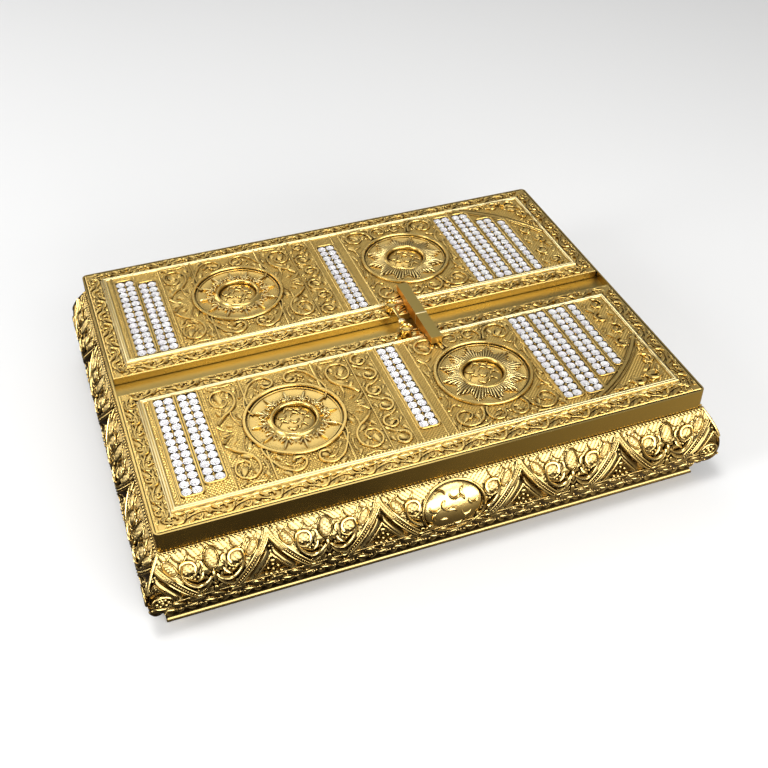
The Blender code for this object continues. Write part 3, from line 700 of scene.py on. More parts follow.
def bandPath(peak, sign, half):
    d = sideDesign
    downs = [d["bandTop"] + (d["bandBottom"] - d["bandTop"]) * step / 14 for step in range(15)]
    points = [(peak + sign * bandAcross(down), down) for down in downs]
    return [(u, v) for u, v in points if abs(u) < half + onBulge(v)[0] + 0.4]


# berries under a peak as (from the peak, down)
peakBerries = ((0, 21.4), (-2.6, 23.2), (2.6, 23.2), (0.0, 24.6), (-3.9, 26.2), (3.9, 26.2), (-1.4, 26.9),
               (1.5, 26.9), (-5.8, 29.0), (0, 29.6), (5.8, 29.0))
# rows of leaves round the lower bulge as (down, pitch, length, width)
lowerRows = ((31.0, 9.75, 4.2, 1.9), (35.6, 9.75, 4.0, 1.8), (40.2, 4.9, 2.2, 1.5))


def makeOrnament(side, name):
    d = sideDesign
    place = sidePlace(side)
    edges, widths, half = unitEdges(side)
    paths, beads, berries, petals = [], [], [], []

    def put(things, u, v, size, turn=0.0, rise=0.0, on=place):
        things.append(spot(on, u, v, size, turn, rise))

    for index, peak in enumerate(edges):
        signs = (1,) if index == 0 else (-1,) if index == len(edges) - 1 else (-1, 1)
        for sign in signs:
            band = bandPath(peak, sign, half)
            if len(band) < 3:
                continue
            for shift in (-1.5, 1.5):
                rail = [(u, v) for u, v in shifted(band, shift) if sign * (u - peak) > -0.1]
                paths.append([(u, v, 0.62, d["railRadius"]) for u, v in rail])
            for u, v in evenly(band, d["beadPitch"]):
                if v > d["bandTop"] + 1.6:
                    put(beads, u, v, (d["beadRadius"],) * 3, rise=0.5)
            # curled foot of the band with its petals
            foot, low = band[-1][0], d["bandBottom"]
            curl = spiral((foot + sign * 2.6, low - 0.6), 2.7, 0.9, 180 if sign > 0 else 0, -sign * 300, 10)
            paths.append(stroke(curl, 0.6, 0.3))
            if abs(foot) < half:
                put(petals, foot - sign * 1.4, low + 2.2, (2.8, 1.6, 1.2), 8 * sign)
                put(petals, foot + sign * 6.6, low - 1.0, (2.7, 1.7, 1.2), -35 * sign)
        # pointed lobe with its berries
        downs = [(-1, d["bandBottom"] + 0.6 - k * 1.6) for k in range(8)]
        downs += [(1, d["lobeTop"] + 0.2 + k * 1.6) for k in range(8)]
        lobe = [(peak + s * lobeAcross(v), v) for s, v in downs if v >= d["lobeTop"]]
        inside = [(u, v) for u, v in lobe if abs(u) < half + onBulge(v)[0] - 0.3]
        if len(inside) > 2:
            paths.append(stroke(inside, 0.6, lift=0.4, ends="even"))
        if abs(peak) < half:
            for du, v in peakBerries:
                put(berries, peak + du, v, (0.95,) * 3, rise=0.2 if v > 26 else -0.6)
            put(petals, peak, d["lobeTop"] + 4.4, (0.9, 1.6, 0.7), 90)

    for start, end, width in zip(edges, edges[1:], widths):
        middle, span, wide = (start + end) / 2, (end - start) / 2, width > 1
        paths += unitStrokes(middle, span, wide)
        for sign in (-1, 1):
            if not wide:
                for u, v, *size, turn in ((3.6, 21.8, 4.6, 1.5, 1.6, 90 - 32 * sign),
                                          (7.6, 24.6, 4.2, 1.4, 1.4, 24 * sign),
                                          (6.8, 17.2, 3.2, 1.3, 1.3, 90 - 40 * sign)):
                    put(petals, middle + sign * u, v, size, turn)
            for g, v in ((18.0, 16.4), (19.6, 15.2), (19.4, 17.4), (21.2, 16.6)):
                put(beads, middle + sign * (span - g), v, (0.85,) * 3, rise=0.1)
        if not wide:
            put(petals, middle, 18.6, (3.4, 1.2, 1.4), 90)
            put(petals, middle, 27.2, (3.0, 1.6, 1.3), 90)

    # oval ring of berries near each corner
    for sign in (-1, 1):
        u, v = sign * (half + 2.8), 26.6
        paths.append([(a, b, 0.45, 0.6) for a, b in circle((u, v), 5.2, 4.2, 28)])
        for a, b in [(u, v)] + circle((u, v), 2.9, 2.2, 6)[:-1]:
            put(berries, a, b, (1.15, 1.0, 0.95), rise=0.15)

    # leaf rows round the lower bulge
    for row, (down, pitch, length, width) in enumerate(lowerRows):
        reach = half + onBulge(down)[0] - 4.0
        count = int(2 * reach / pitch)
        for index in range(count + 1):
            along = -reach + 2 * reach * index / count + (pitch / 2 if row == 1 else 0)
            if abs(along) > reach:
                continue
            lean = 18 if (index + row) % 2 else -14
            put(petals, along, down, (length, width, 1.2), lean + (0 if row < 2 else 90))
            if row < 2:
                put(beads, along + pitch / 2, down + 1.5, (0.8,) * 3, rise=0.1)

    # upright bead frieze under the lid, and leaves along the foot, larger ones between smaller ones
    for index in range(int(2 * half / 2.15) + 1):
        put(beads, -half + 2 * half * index / int(2 * half / 2.15), 0.9, (0.78, 1.25, 0.95), rise=0.15)
    for index in range(int(2 * half / 5.6) + 1):
        size = (2.7, 1.3, 1.2) if index % 3 else (2.4, 2.1, 1.6)
        put(petals, -half + 2 * half * index / int(2 * half / 5.6), 7.7, size, 28 if index % 2 else -28,
            on=lambda u, v, rise: onSide(side, u, bodyDesign["footReach"] + rise, v))

    # thin lines along the side as (past the lid's edge, down, rise, radius, points)
    lowest = profileLength[-1]
    for past, down, rise, radius, count in ((6, 28.4, 0.1, 0.42, 60), (2, lowest * 0.93, 0.2, 0.6, 40),
                                            (1, lowest * 0.985, 0.3, 0.35, 40)):
        paths.append([(u, down, rise, radius) for u in np.linspace(-half - past, half + past, count)])

    # strokes that would run under a side medallion are dropped
    wideMiddles = [(a + b) / 2 for a, b, w in zip(edges, edges[1:], widths) if w > 1]
    paths = [path for path in paths
             if not any(all(abs(u - middle) < d["medallion"][0] for u, *_ in path) for middle in wideMiddles)]
    things = [drawStrokes(paths, place), spread(beadSeed(1), beads), spread(petalSeed(), petals),
              spread(beadSeed(2), berries)]
    for middle in wideMiddles:
        things += makeSideMedallion(side, middle)
    finishPiece(things, name + "Ornament", [castGold], angle=60)


def makeSideMedallion(side, middle):
    # domed oval sunk in a thin rim, with bold arcs where an inscription would stand
    d = sideDesign
    centre = (middle, d["medallionDown"])
    wide, tall = d["medallion"]
    dome = (centre, wide, tall, d["medallionRise"] + d["medallionDrop"])
    low = -d["medallionDrop"]
    rim = [[(u, v, 0.25, 0.7) for u, v in circle(centre, wide + 0.4, tall + 0.4, 72)]]
    marks = []
    rows = ((-8.0, (-6.6, 0.4, 7.2)), (-3.0, (-11.0, -3.8, 3.6, 10.4)), (2.4, (-9.2, -1.6, 6.0)),
            (7.6, (-5.8, 1.4, 8.0)))
    for row, (v, starts) in enumerate(rows):
        for index, u in enumerate(starts):
            start, sweep = ((205, 150), (20, 165), (110, 140))[(row + index) % 3]
            arc = spiral((middle + u, centre[1] + v), 3.2, 2.2, start, sweep, 8)
            marks.append(stroke(arc, 0.95, 0.4, lift=0.3, ends="both"))
    return [layOn(sizedDome(*dome, 56, 24, low), sidePlace(side, 0.6)),
            drawStrokes(rim, sidePlace(side, 0.7)),
            drawStrokes(marks, domeTop(sidePlace(side, 1.3), *dome, low))]


def makeCorners():
    # ringed boss of berries on each lower corner, with ridges along the mitre above and below it
    things, berries = [], []
    d = bodyDesign
    up = Vector((0, 0, 1))
    for signX, signY in ((-1, -1), (1, -1), (1, 1), (-1, 1)):
        centre = Vector((signX * (d["halfLength"] + 3.8), signY * (d["halfWidth"] + 3.8), 24.5))
        out = Vector((signX, signY, 0)).normalized()
        aside = Vector((-out.y, out.x, 0))
        berries.append(Matrix.Translation(centre * mm) @ Matrix.Diagonal((5.4 * mm, 5.4 * mm, 5.2 * mm, 1)))
        ring = circle((0, 0), 5.9, 5.0, 28)
        paths = [[(*(centre + out * 3.6 + aside * u + up * v), 0.55) for u, v in ring]]
        for count, lean, size in ((1, 0.0, 1.3), (6, 0.46, 1.0), (10, 0.82, 0.8)):
            for index in range(count):
                angle = math.tau * index / count
                direction = (out * math.cos(lean) + aside * math.sin(lean) * math.cos(angle)
                             + up * math.sin(lean) * math.sin(angle))
                point = (centre + Vector((direction.x * 5.3, direction.y * 5.3, direction.z * 5.1))) * mm
                berries.append(Matrix.Translation(point) @ Matrix.Scale(size * mm, 4))
        for first, last, count, radius in ((0.6, 19.0, 14, 0.75), (31.0, profileLength[-1] * 0.95, 8, 0.7)):
            paths.append([(signX * (d["halfLength"] + reach), signY * (d["halfWidth"] + reach), height,
                           radius) for reach, height, *_ in map(onBulge, np.linspace(first, last, count))])
        things.append(drawStrokes(paths, lambda x, y, z: (x * mm, y * mm, z * mm)))
    things.append(spread(beadSeed(2), berries))
    finishPiece(things, "cornerBosses", [castGold], angle=60)


makeShell()
for sideIndex, sideName in enumerate(("front", "right", "back", "left")):
    makeSkin(sideIndex, sideName)
    makeOrnament(sideIndex, sideName)
makeCorners()
print("box body done")


# lid

lidDesign = {"corner": 3.0, "lip": 0.9, "trayDepth": 4.5, "deck": 2.0, "lipInset": 2.6, "lipDepth": 3.0,
             "lipWall": 1.5, "edge": 0.35}


def makeLid():
    d = lidDesign
    band = bodyDesign["rim"] + 0.3
    lid = addBox((-lidHigh.x, -lidHigh.y, band), lidHigh)

    def isUpright(edge):
        a, b = [lid.data.vertices[index].co.z for index in edge.vertices]
        return abs(a - b) > 5 * mm

    choose(lid, "EDGE", isUpright)
    bpy.ops.mesh.bevel(offset=d["corner"] * mm, segments=6, affect="EDGES")
    choose(lid, "FACE", lambda face: face.normal.z > 0.9)
    bpy.ops.mesh.inset(thickness=d["lip"] * mm)
    pushOut(-d["trayDepth"] * mm)
    choose(lid, "FACE", lambda face: face.normal.z < -0.9)
    bpy.ops.mesh.inset(thickness=d["lipInset"] * mm)
    pushOut(-d["lipDepth"] * mm)
    bpy.ops.mesh.inset(thickness=d["lipWall"] * mm)
    under = lidHigh.z - d["trayDepth"] - d["deck"]
    pushOut((under - band + d["lipDepth"]) * mm)
    endEdit()
    softenEdges(lid, d["edge"], 3)
    # the floor of the channel takes the darker gold: painted shade
    finishPiece([lid], "lidTray", [polishedGold, channelShadeGold], angle=30, flatFaces=True,
                paint=lambda face: face.normal.z > 0.9 and face.center.z < (lidHigh.z - 3) * mm)
    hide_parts("lid")


makeLid()
print("lid done")


# door leaves

leafLow, leafHigh = [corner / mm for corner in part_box("far_door_leaf")]
strips = {}
for stripNumber in range(1, 8):
    low, high = [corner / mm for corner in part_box(f"far_stones_{stripNumber}")]
    strips[stripNumber] = (low.x, high.x, low.y, high.y)

leafDesign = {
    "bottom": leafLow.z, "level": 62.0, "fieldRise": 1.7, "border": 9.0, "moulding": 2.8,
    "halfLength": leafHigh.x, "inner": leafLow.y, "outer": leafHigh.y,
    "cell": 0.98, "grain": 0.42, "pocket": 1.25,
    "ring": 26.4, "boss": 12.4, "arch": 110.5, "tufts": 12, "starPoints": 12, "starRays": 6, "curls": 6,
}
fieldLevel = leafDesign["level"] + leafDesign["fieldRise"]
fieldRight = leafDesign["halfLength"] - leafDesign["border"] - leafDesign["moulding"]
fieldLeft = -fieldRight
fieldInner = leafDesign["inner"] + leafDesign["border"] + leafDesign["moulding"]
fieldOuter = leafDesign["outer"] - leafDesign["border"] - leafDesign["moulding"]
fieldMiddle = (fieldInner + fieldOuter) / 2
# bays along the leaf, from and to
bayOne = (strips[2][1] + 3.3, strips[3][0] - 18.2)
bayCurls = (strips[3][0] - 18.2, strips[3][0] - 4.8)
bayTwo = (strips[3][1] + 6.5, strips[4][0] - 1.1)
bayFoliage = (strips[7][1] + 1.8, fieldRight)
middleOne, middleTwo = sum(bayOne) / 2, sum(bayTwo) / 2


def leafPlace(side, level=fieldLevel):
    return lambda u, v, rise: (u * mm, side * v * mm, (level + rise) * mm)


# steps of the double moulding, from the plate's edge inwards, as (width, rise)
mouldingSteps = ((0.25, 0), (0.3, 0.35), (0.5, 0), (0.3, -0.3), (6.85, 0), (0.3, 0.3), (0.5, 0), (0.35, 1.6),
                 (0.15, 0.25), (0.75, 0.1), (0.15, -0.2), (0.2, -0.3), (0.15, 0.3), (0.15, 0.15), (0.55, 0),
                 (0.15, -0.2), (0.2, -0.8), (0.05, -1.2))


def makePlate(side, name, node):
    # plate with its border and a double moulding round the sunk field
    d = leafDesign
    near, far = sorted((side * d["inner"], side * d["outer"]))
    plate = addBox((-d["halfLength"], near, d["bottom"]), (d["halfLength"], far, d["level"]))
    choose(plate, "FACE", lambda face: face.normal.z > 0.9)
    for width, rise in mouldingSteps:
        bpy.ops.mesh.inset(thickness=width * mm, depth=rise * mm)
    endEdit()

    # the mouldings take the paler gold: painted highlight
    def isMoulding(face):
        u, v = abs(face.center.x) / mm, side * face.center.y / mm
        fromEdge = min(d["halfLength"] - u, v - d["inner"], d["outer"] - v)
        return d["border"] - 0.9 < fromEdge < d["border"] + d["moulding"] + 0.1

    finishPiece([plate], name, [leafGold, mouldingHighlightGold], angle=25, flatFaces=True, paint=isMoulding)
    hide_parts(node)


def isOpen(u, v):
    # where a strip of stones or a medallion stands
    inStrip = any(x0 + 0.1 < u < x1 - 0.1 and y0 + 0.1 < v < y1 - 0.1 for x0, x1, y0, y1 in strips.values())
    return inStrip or any(math.hypot(u - middle, v - fieldMiddle) < leafDesign["ring"] - 1
                          for middle in (middleOne, middleTwo))


def makeGround(side, name):
    # grained ground of the field
    d = leafDesign
    across, deep = int((fieldRight - fieldLeft) / d["cell"]), int((fieldOuter - fieldInner) / d["cell"])
    pick()
    bpy.ops.mesh.primitive_grid_add(x_subdivisions=across, y_subdivisions=deep, size=1.0)
    ground = bpy.context.object
    place = leafPlace(side)
    leave = []
    for vertex in ground.data.vertices:
        column, row = round((vertex.co.x + 0.5) * across), round((vertex.co.y + 0.5) * deep)
        u = fieldLeft + (fieldRight - fieldLeft) * column / across
        v = fieldInner + (fieldOuter - fieldInner) * row / deep
        checker = (row + column) % 2
        isInside = 0 < row < deep and 0 < column < across
        rise = d["grain"] * checker * random.uniform(0.8, 1.1) if isInside else 0
        leave.append(isOpen(u, v))
        vertex.co = place(u, v, rise - 0.05)
    choose(ground, "VERT", lambda vertex: leave[vertex.index])
    bpy.ops.mesh.delete(type="VERT")
    bpy.ops.mesh.select_all(action="SELECT")
    bpy.ops.mesh.poke()
    if side < 0:
        bpy.ops.mesh.select_all(action="SELECT")
        bpy.ops.mesh.flip_normals()
    endEdit()
    finishPiece([ground], name, [groundGold], angle=8, recalculate=False)


def vineRun(start, end):
    # leaf scroll along one side of the border: wave line, curled leaves and beads
    length = math.hypot(end[0] - start[0], end[1] - start[1])
    count = max(2, round(length / 12))
    step = length / count
    du, dv = (end[0] - start[0]) / length, (end[1] - start[1]) / length
    heading = math.degrees(math.atan2(dv, du))

    def at(t, w):
        return (start[0] + du * t - dv * w, start[1] + dv * t + du * w)

    steps = [length * index / (count * 6) for index in range(count * 6 + 1)]
    paths = [stroke([at(t, 1.7 * math.sin(math.pi * t / step)) for t in steps], 0.58, lift=0.4, ends="even")]
    petals, beads = [], []
    for index in range(count):
        sign = 1 if index % 2 else -1
        t = (index + 0.5) * step
        bend = [at(t + u, sign * w) for u, w in ((-4.8, 1), (-2.6, -2.2), (0.8, -2.6), (2.6, -0.6))]
        curl = [at(t + u, sign * w) for u, w in spiral((1.6, 1), 2.3, 1, 200, -250, 8)]
        paths += [stroke(flow(bend, 3), 1.15, 0.45, lift=0.4), stroke(curl, 0.8, 0.5, lift=0.4)]
        for u, w, size, turn in ((4.6, 2, (2.8, 1.5, 1.4), sign * 40), (-3.4, 3, (2.2, 1.2, 1.2), -sign * 12),
                                 (4.2, -3, (2, 1.1, 1.1), 180 + sign * 10)):
            petals.append((*at(t + u, sign * w), size, heading + turn))
        beads += [(*at(t + u, sign * w), (0.8, 0.8, 0.9)) for u, w in ((1.6, 1), (0.2, 3.5), (-5.2, 3))]
    return paths, petals, beads


# one quarter of the scrolls, leaves and beads round each medallion, counted from its middle: scrolls as
# (thick, thin, points), leaves as (u, v, length, width, rise, turn)
quarterOne = {
    "scrolls": (
        (0.69, 0.99, ((19.6, 10), (22.4, 15.4), (22, 21), (19.2, 28), (15.6, 34), (10.2, 37.2), (5.4, 36),
                      (3.4, 32.2), (5, 28.8), (8.4, 28.6), (9.8, 31))),
        (0.99, 0.65, ((38.8, 8.4), (34.6, 13.6), (30, 17.2), (26.4, 22.8), (26.4, 29.8), (30.6, 34.2),
                      (36, 33.4), (38.6, 28.6), (37, 22.8), (32.6, 21.6), (30.4, 25), (32.2, 28.2))),
        (0.99, 0.52, ((39.4, 6.6), (36.6, 3.2), (33.4, 1.4))),
        (0.82, 0.43, ((30.6, 16.6), (30.2, 10.2), (27.6, 3.8))),
        (0.82, 0.43, ((23.4, 25), (22.6, 30.6), (24.2, 36.6))),
        (0.82, 0.43, ((25.8, 38.4), (31, 37.6), (36, 38.8))),
        (0.82, 0.43, ((13.6, 30.4), (11, 33.4), (8, 33.2))),
    ),
    "leaves": (
        (34.4, 28.6, 4.4, 2.3, 1.5, 70), (29, 30.4, 2.8, 1.5, 1.3, 100), (31, 19, 3.4, 1.8, 1.3, 140),
        (36.6, 37, 2.4, 1.4, 1.2, 30), (24.2, 34.4, 3, 1.6, 1.3, 110), (36.8, 17, 2.8, 1.5, 1.3, 60),
        (6.6, 31.4, 2.6, 1.7, 1.3, 20), (27.2, 11.4, 3, 1.5, 1.2, 250), (16.4, 25.6, 2.6, 1.4, 1.2, 120),
        (14.8, 37.6, 2.8, 1.5, 1.2, 330), (36.8, 1, 2.6, 1.4, 1.2, 180), (33.6, 6.2, 2.4, 1.3, 1.2, 210),
    ),
    "beads": ((24, 38.6), (39, 31.8), (39.2, 23.4), (23.2, 20), (35, 18.6), (12.4, 27.2), (13.4, 28.2),
              (39.4, 36.4), (38, 39), (1.2, 29), (1.2, 31.4)),
}
quarterTwo = {
    "scrolls": (
        (0.86, 0.77, ((10, 26.6), (11.6, 31.4), (9.4, 36.2), (5, 37.2), (2.2, 34.4), (3.6, 30.6),
                      (6.8, 31.2))),
        (1.03, 0.65, ((12.4, 26.2), (14.2, 32.8), (18.6, 36.8), (24.2, 36.8), (28, 32.6), (27, 27.2),
                      (22.6, 25.4), (19.4, 28.4), (21, 31.8), (24, 31.2))),
        (0.99, 0.47, ((29.6, 21.6), (26.8, 16.6), (26.6, 10.2))),
        (0.86, 0.43, ((30.2, 12), (29, 6.2), (29.4, 1))),
        (0.77, 0.43, ((22.6, 21.6), (26, 19.4), (29.6, 24))),
        (0.77, 0.43, ((14.6, 38.4), (20, 39.2), (25.4, 38.8))),
        (0.77, 0.43, ((28.8, 38), (30.6, 33.6), (30.2, 28.6))),
    ),
    "leaves": (
        (23.2, 30.6, 4.2, 2.2, 1.5, 50), (17.6, 31.6, 3, 1.6, 1.3, 100), (29.4, 35.6, 2.8, 1.6, 1.3, 60),
        (28.4, 21, 2.8, 1.5, 1.2, 230), (6.4, 33.6, 2.6, 1.6, 1.3, 20), (29, 9.6, 2.6, 1.4, 1.2, 280),
        (1.6, 38.4, 2.2, 1.3, 1.2, 0), (12.6, 37.2, 2.4, 1.4, 1.2, 40),
    ),
    "beads": ((15.6, 28.8), (30, 26), (21.6, 38.4), (27.2, 38.6), (0, 30.6), (0.8, 33), (31, 17), (14.6, 36)),
}


def leafyCurl(centre, size, start, sweep, thick):
    # scroll with pointed leaves along its outer side
    paths = [stroke(spiral(centre, size, size * 0.3, start, sweep, 14), thick, thick * 0.5, lift=0.6)]
    way = 1 if sweep > 0 else -1
    for step in range(5):
        angle = math.radians(start + way * (20 + 52 * step))
        reach = size * (1.0 - 0.11 * step)
        points = []
        for share, out in ((0.0, 0.72), (0.4, 1.12), (0.8, 1.36), (1.2, 1.42)):
            turn = angle - way * 0.42 * share
            points.append((centre[0] + reach * out * math.cos(turn),
                           centre[1] + reach * out * math.sin(turn)))
        paths.append(stroke(flow(points, 3), thick * 0.8, 0.25, lift=0.45))
    return paths


def archPath(radius):
    # from the right moulding up to the outer moulding
    turns = [math.radians(20 + 55 * step / 24) for step in range(25)]
    points = [(middleTwo + radius * math.cos(turn), radius * math.sin(turn)) for turn in turns]
    return [(u, v) for u, v in points if fieldLeft < u < fieldRight - 0.2 and v < fieldOuter - 0.2]


def archHeight(u):
    return math.sqrt(max(leafDesign["arch"] ** 2 - (u - middleTwo) ** 2, 0.0))


# foliage in the spandrel as (from the corner, size, start, sweep), and its leaves as (from the corner, turn)
spandrelCurls = ((-7.4, -7, 5.2, 180, -320), (-18.6, -5, 4.2, 20, 330), (-5.2, -18.8, 4.2, 260, 330),
                 (-28.4, -3, 2.6, 0, 300), (-3.2, -29, 2.6, 270, 300))
spandrelLeaves = ((-11, -3, 160), (-3, -11, 290), (-21, -4.8, 190), (-4.4, -21.6, 260), (-12.6, -7.4, 120),
                  (-8.2, -12.4, 330), (-31, -2.2, 180), (-2.6, -32, 270))


def makeLeafRelief(side, word):
    d = leafDesign
    field, border = leafPlace(side), leafPlace(side, d["level"])
    paths, petals, beads, edgePaths = [], [], [], []

    def put(things, u, v, size, turn=0.0, rise=0.0):
        things.append(spot(field, u, v, size, turn, rise))

    # rings and the four quarters round each medallion
    for middle, quarter in ((middleOne, quarterOne), (middleTwo, quarterTwo)):
        for radius, rise, thick in ((d["ring"], 0.45, 1.25), (d["ring"] - 2.1, 0.1, 0.4)):
            paths.append([(u, v, rise, thick) for u, v in circle((middle, fieldMiddle), radius, steps=96)])
        scrolls = [stroke(flow(points, 3 if len(points) == 3 else 4), thick, thin, lift=0.45)
                   for thick, thin, points in quarter["scrolls"]]
        if quarter is quarterOne:
            bar = [(20.5, 40), (20.5, 34), (20.5, 27), (20.5, 18.6)]
            scrolls.append(stroke(bar, 0.75, lift=0.4, ends="even"))
        for signU, signV in ((-1, -1), (-1, 1), (1, -1), (1, 1)):
            paths += [[(middle + signU * u, fieldMiddle + signV * v, h, r) for u, v, h, r in path]
                      for path in scrolls]
            for u, v, *size, turn in quarter["leaves"]:
                put(petals, middle + signU * u, fieldMiddle + signV * v, size,
                    signV * (turn if signU > 0 else 180 - turn))
            for u, v in quarter["beads"]:
                put(beads, middle + signU * u, fieldMiddle + signV * v, (0.85,) * 3, rise=0.2)

    # upright row of curls between the two medallions
    count = d["curls"]
    step = (fieldOuter - fieldInner) / count
    centre = sum(bayCurls) / 2
    for index in range(count):
        v = fieldInner + (index + 0.5) * step
        sign = 1 if index % 2 else -1
        curl = spiral((centre + sign * 0.4, v), 5.3, 1.6, -90, sign * 400, 18)
        paths.append(stroke(curl, 0.95, 0.7, lift=0.4))
        link = [(centre + sign * 5, v + 3), (centre + sign * 2, v + step * 0.5),
                (centre - sign * 4.4, v + step * 0.62)]
        if index < count - 1:
            paths.append(stroke(flow(link, 3), 0.9, 0.5, lift=0.4))
        put(petals, centre + sign * 0.4, v, (2.9, 1.9, 1.4), 35 * sign)
        put(petals, centre - sign * 4.2, v + step * 0.45, (2.8, 1.4, 1.2), 90 + 30 * sign)
        put(petals, centre - sign * 4.6, v - step * 0.12, (2.4, 1.3, 1.1), 90 - 20 * sign)
        put(beads, centre + sign * 4.8, v + step * 0.5, (0.7,) * 3)

    # dividing lines between the bays
    lines = [*bayOne, bayCurls[1], *bayTwo, strips[1][0] - 1.2, strips[3][0] - 1.3, strips[3][1] + 1.3,
             fieldLeft + 2.4] + [strips[number][1] + 1.1 for number in (1, 4, 5, 6, 7)]
    for u in lines:
        top = min(fieldOuter, archHeight(u) - 1) if u > middleTwo else fieldOuter
        paths.append([(u, fieldInner, 0.12, 0.5), (u, top, 0.12, 0.5)])

    # arch and the foliage on both sides of it
    for out, rise, thick in ((0, -0.5, 1.6), (-2.3, 0.35, 0.5), (2.3, 0.35, 0.5)):
        paths.append([(u, v, rise, thick) for u, v in archPath(d["arch"] + out)])
    for du, dv, size, start, sweep in spandrelCurls:
        paths += leafyCurl((fieldRight + du, fieldOuter + dv), size, start, sweep, 0.7 + size * 0.16)
        put(petals, fieldRight + du, fieldOuter + dv, (size * 0.66, size * 0.4, 2), start)
    for du, dv, turn in spandrelLeaves:
        put(petals, fieldRight + du, fieldOuter + dv, (3.4, 1.6, 1.9), turn)
    centre = sum(bayFoliage) / 2
    for index in range(4):
        v = fieldInner + 6.2 + index * 12.4
        sign = 1 if index % 2 else -1
        paths += leafyCurl((centre - sign * 1.2, v), 4.6, -90, -sign * 380, 1.1)
        put(petals, centre - sign * 1.2, v, (3.1, 1.8, 1.6), 40 * sign)
        put(petals, centre + sign * 5, v + 4.4, (3.4, 1.6, 1.5), 90 + 28 * sign)
        put(petals, centre + sign * 5.4, v - 1.4, (2.8, 1.4, 1.4), 90 - 30 * sign)
        put(beads, centre - sign * 6.2, v + 5.6, (0.8,) * 3)

    # vine round the border
    inset = d["border"] / 2 + 0.1
    x, y0, y1 = d["halfLength"] - inset, d["inner"] + inset, d["outer"] - inset
    corners = [(-x, y0), (x, y0), (x, y1), (-x, y1)]
    for start, end in zip(corners, corners[1:] + corners[:1]):
        runPaths, runPetals, runBeads = vineRun(start, end)
        edgePaths += runPaths
        petals += [spot(border, *petal) for petal in runPetals]
        beads += [spot(border, *bead) for bead in runBeads]

    scrolls = [drawStrokes(paths, field), drawStrokes(edgePaths, border)]
    finishPiece(scrolls, word + "LeafScrolls", [leafGold], angle=60)
    trim = [spread(petalSeed(), petals), spread(beadSeed(1), beads)]
    finishPiece(trim, word + "LeafFoliage", [leafGold], angle=60)


def makeDish(side, centre):
    # polished round dish with a domed boss, and short bends where an inscription may stand
    field, radius, boss = leafPlace(side), leafDesign["ring"], leafDesign["boss"]
    dish = turned([(radius + 0.4, -0.3), (radius - 0.6, 0.1), (radius - 2.6, -0.25), (radius - 6, -0.45),
                   (boss + 3, -0.3), (boss + 1, 0.15), (boss + 0.7, 0.95), (boss + 0.2, 1.4),
                   (boss - 0.4, 1.45), (boss - 0.9, 1.1), (boss - 1.1, 0.4), (boss - 1.4, -1.4)], centre)
    dome = (centre, boss - 1.3, boss - 1.3, 1.9)
    marks = []
    rows = ((6.2, (-5.2, 0.2)), (1.6, (-9.4, -3.2, 3)), (-3.2, (-8.8, -2.4, 3.2)), (-7.4, (-4.6, 0.8)))
    for row, (v, starts) in enumerate(rows):
        for index, u in enumerate(starts):
            bend = 1.7 if (row + index) % 2 else -1.5
            points = [(centre[0] + u + du, centre[1] + v + dv)
                      for du, dv in ((0, bend), (2.4, -bend), (5.4, bend * 0.5))]
            marks.append(stroke(flow(points), 0.85, 0.3, lift=0.25, ends="both"))
    return [layOn(dish, field), layOn(sizedDome(*dome, 48, 18, -1.4), field),
            drawStrokes(marks, domeTop(field, *dome, -1.4))]


def makeTufts(side, centre):
    # ring of spiky leaf tufts round the first medallion, with beads between them
    petals, beads = [], []

    def put(things, angle, reach, size, lean=0.0):
        turn = math.radians(angle)
        u, v = centre[0] + reach * math.cos(turn), centre[1] + reach * math.sin(turn)
        things.append(spot(leafPlace(side), u, v, size, angle + lean))

    for index in range(leafDesign["tufts"]):
        angle = 360 * index / leafDesign["tufts"]
        put(petals, angle, 19.4, (4, 0.85, 1.1))
        for sign in (-1, 1):
            put(petals, angle + sign * 5.4, 17.2, (2.2, 0.62, 0.9), sign * 30)
            put(petals, angle + sign * 6.6, 15.2, (1.5, 0.6, 0.8), sign * 60)
            put(beads, angle + sign * 9, 17.6, (0.6,) * 3)
        put(beads, angle + 15, 15.4, (0.6,) * 3)
        put(petals, angle + 15, 16.6, (1.6, 0.55, 0.8))
    return [spread(petalSeed(), petals), spread(beadSeed(1), beads)]


def makeStar(side, centre):
    # rayed star: fine ridges that run out to twelve points
    field, boss = leafPlace(side), leafDesign["boss"]
    points, rays = leafDesign["starPoints"], leafDesign["starRays"]
    paths, beads = [], []

    def at(reach, angle):
        return (centre[0] + reach * math.cos(angle), centre[1] + reach * math.sin(angle))

    for index in range(points * rays):
        tip = 17.8 + 6.4 * (abs((index % rays) / rays - 0.5) * 2) ** 1.3
        angle = math.tau * index / (points * rays)
        ridge = ((boss + 0.6, 0.6, 0.42), ((boss + tip) / 2, 0.85, 0.56), (tip - 1.6, 0.6, 0.54),
                 (tip, 0.1, 0.16))
        paths.append([(*at(reach, angle), rise, radius) for reach, rise, radius in ridge])
    for index in range(points * 2):
        for step in range(4):
            share = (step + 0.5) / 4
            angle = math.radians(360 / (points * 2)) * (index + share)
            reach = 17.8 + 6 * (share if index % 2 else 1 - share) ** 1.3
            beads.append(spot(field, *at(reach, angle), (0.42,) * 3, rise=0.2))
    return [drawStrokes(paths, field), spread(beadSeed(1), beads)]


def makeMedallions(side, word):
    one, two = (middleOne, fieldMiddle), (middleTwo, fieldMiddle)
    dishes = makeDish(side, one) + makeDish(side, two)
    finishPiece(dishes, word + "Medallions", [leafGold], angle=64)
    rays = makeTufts(side, one) + makeStar(side, two)
    finishPiece(rays, word + "Rays", [starGold], angle=64)


# set stones

stoneDesign = {"pitch": 5.3, "girdle": 2.62, "table": 1.35, "crown": 0.95, "backDepth": 1.1, "prong": 0.56}


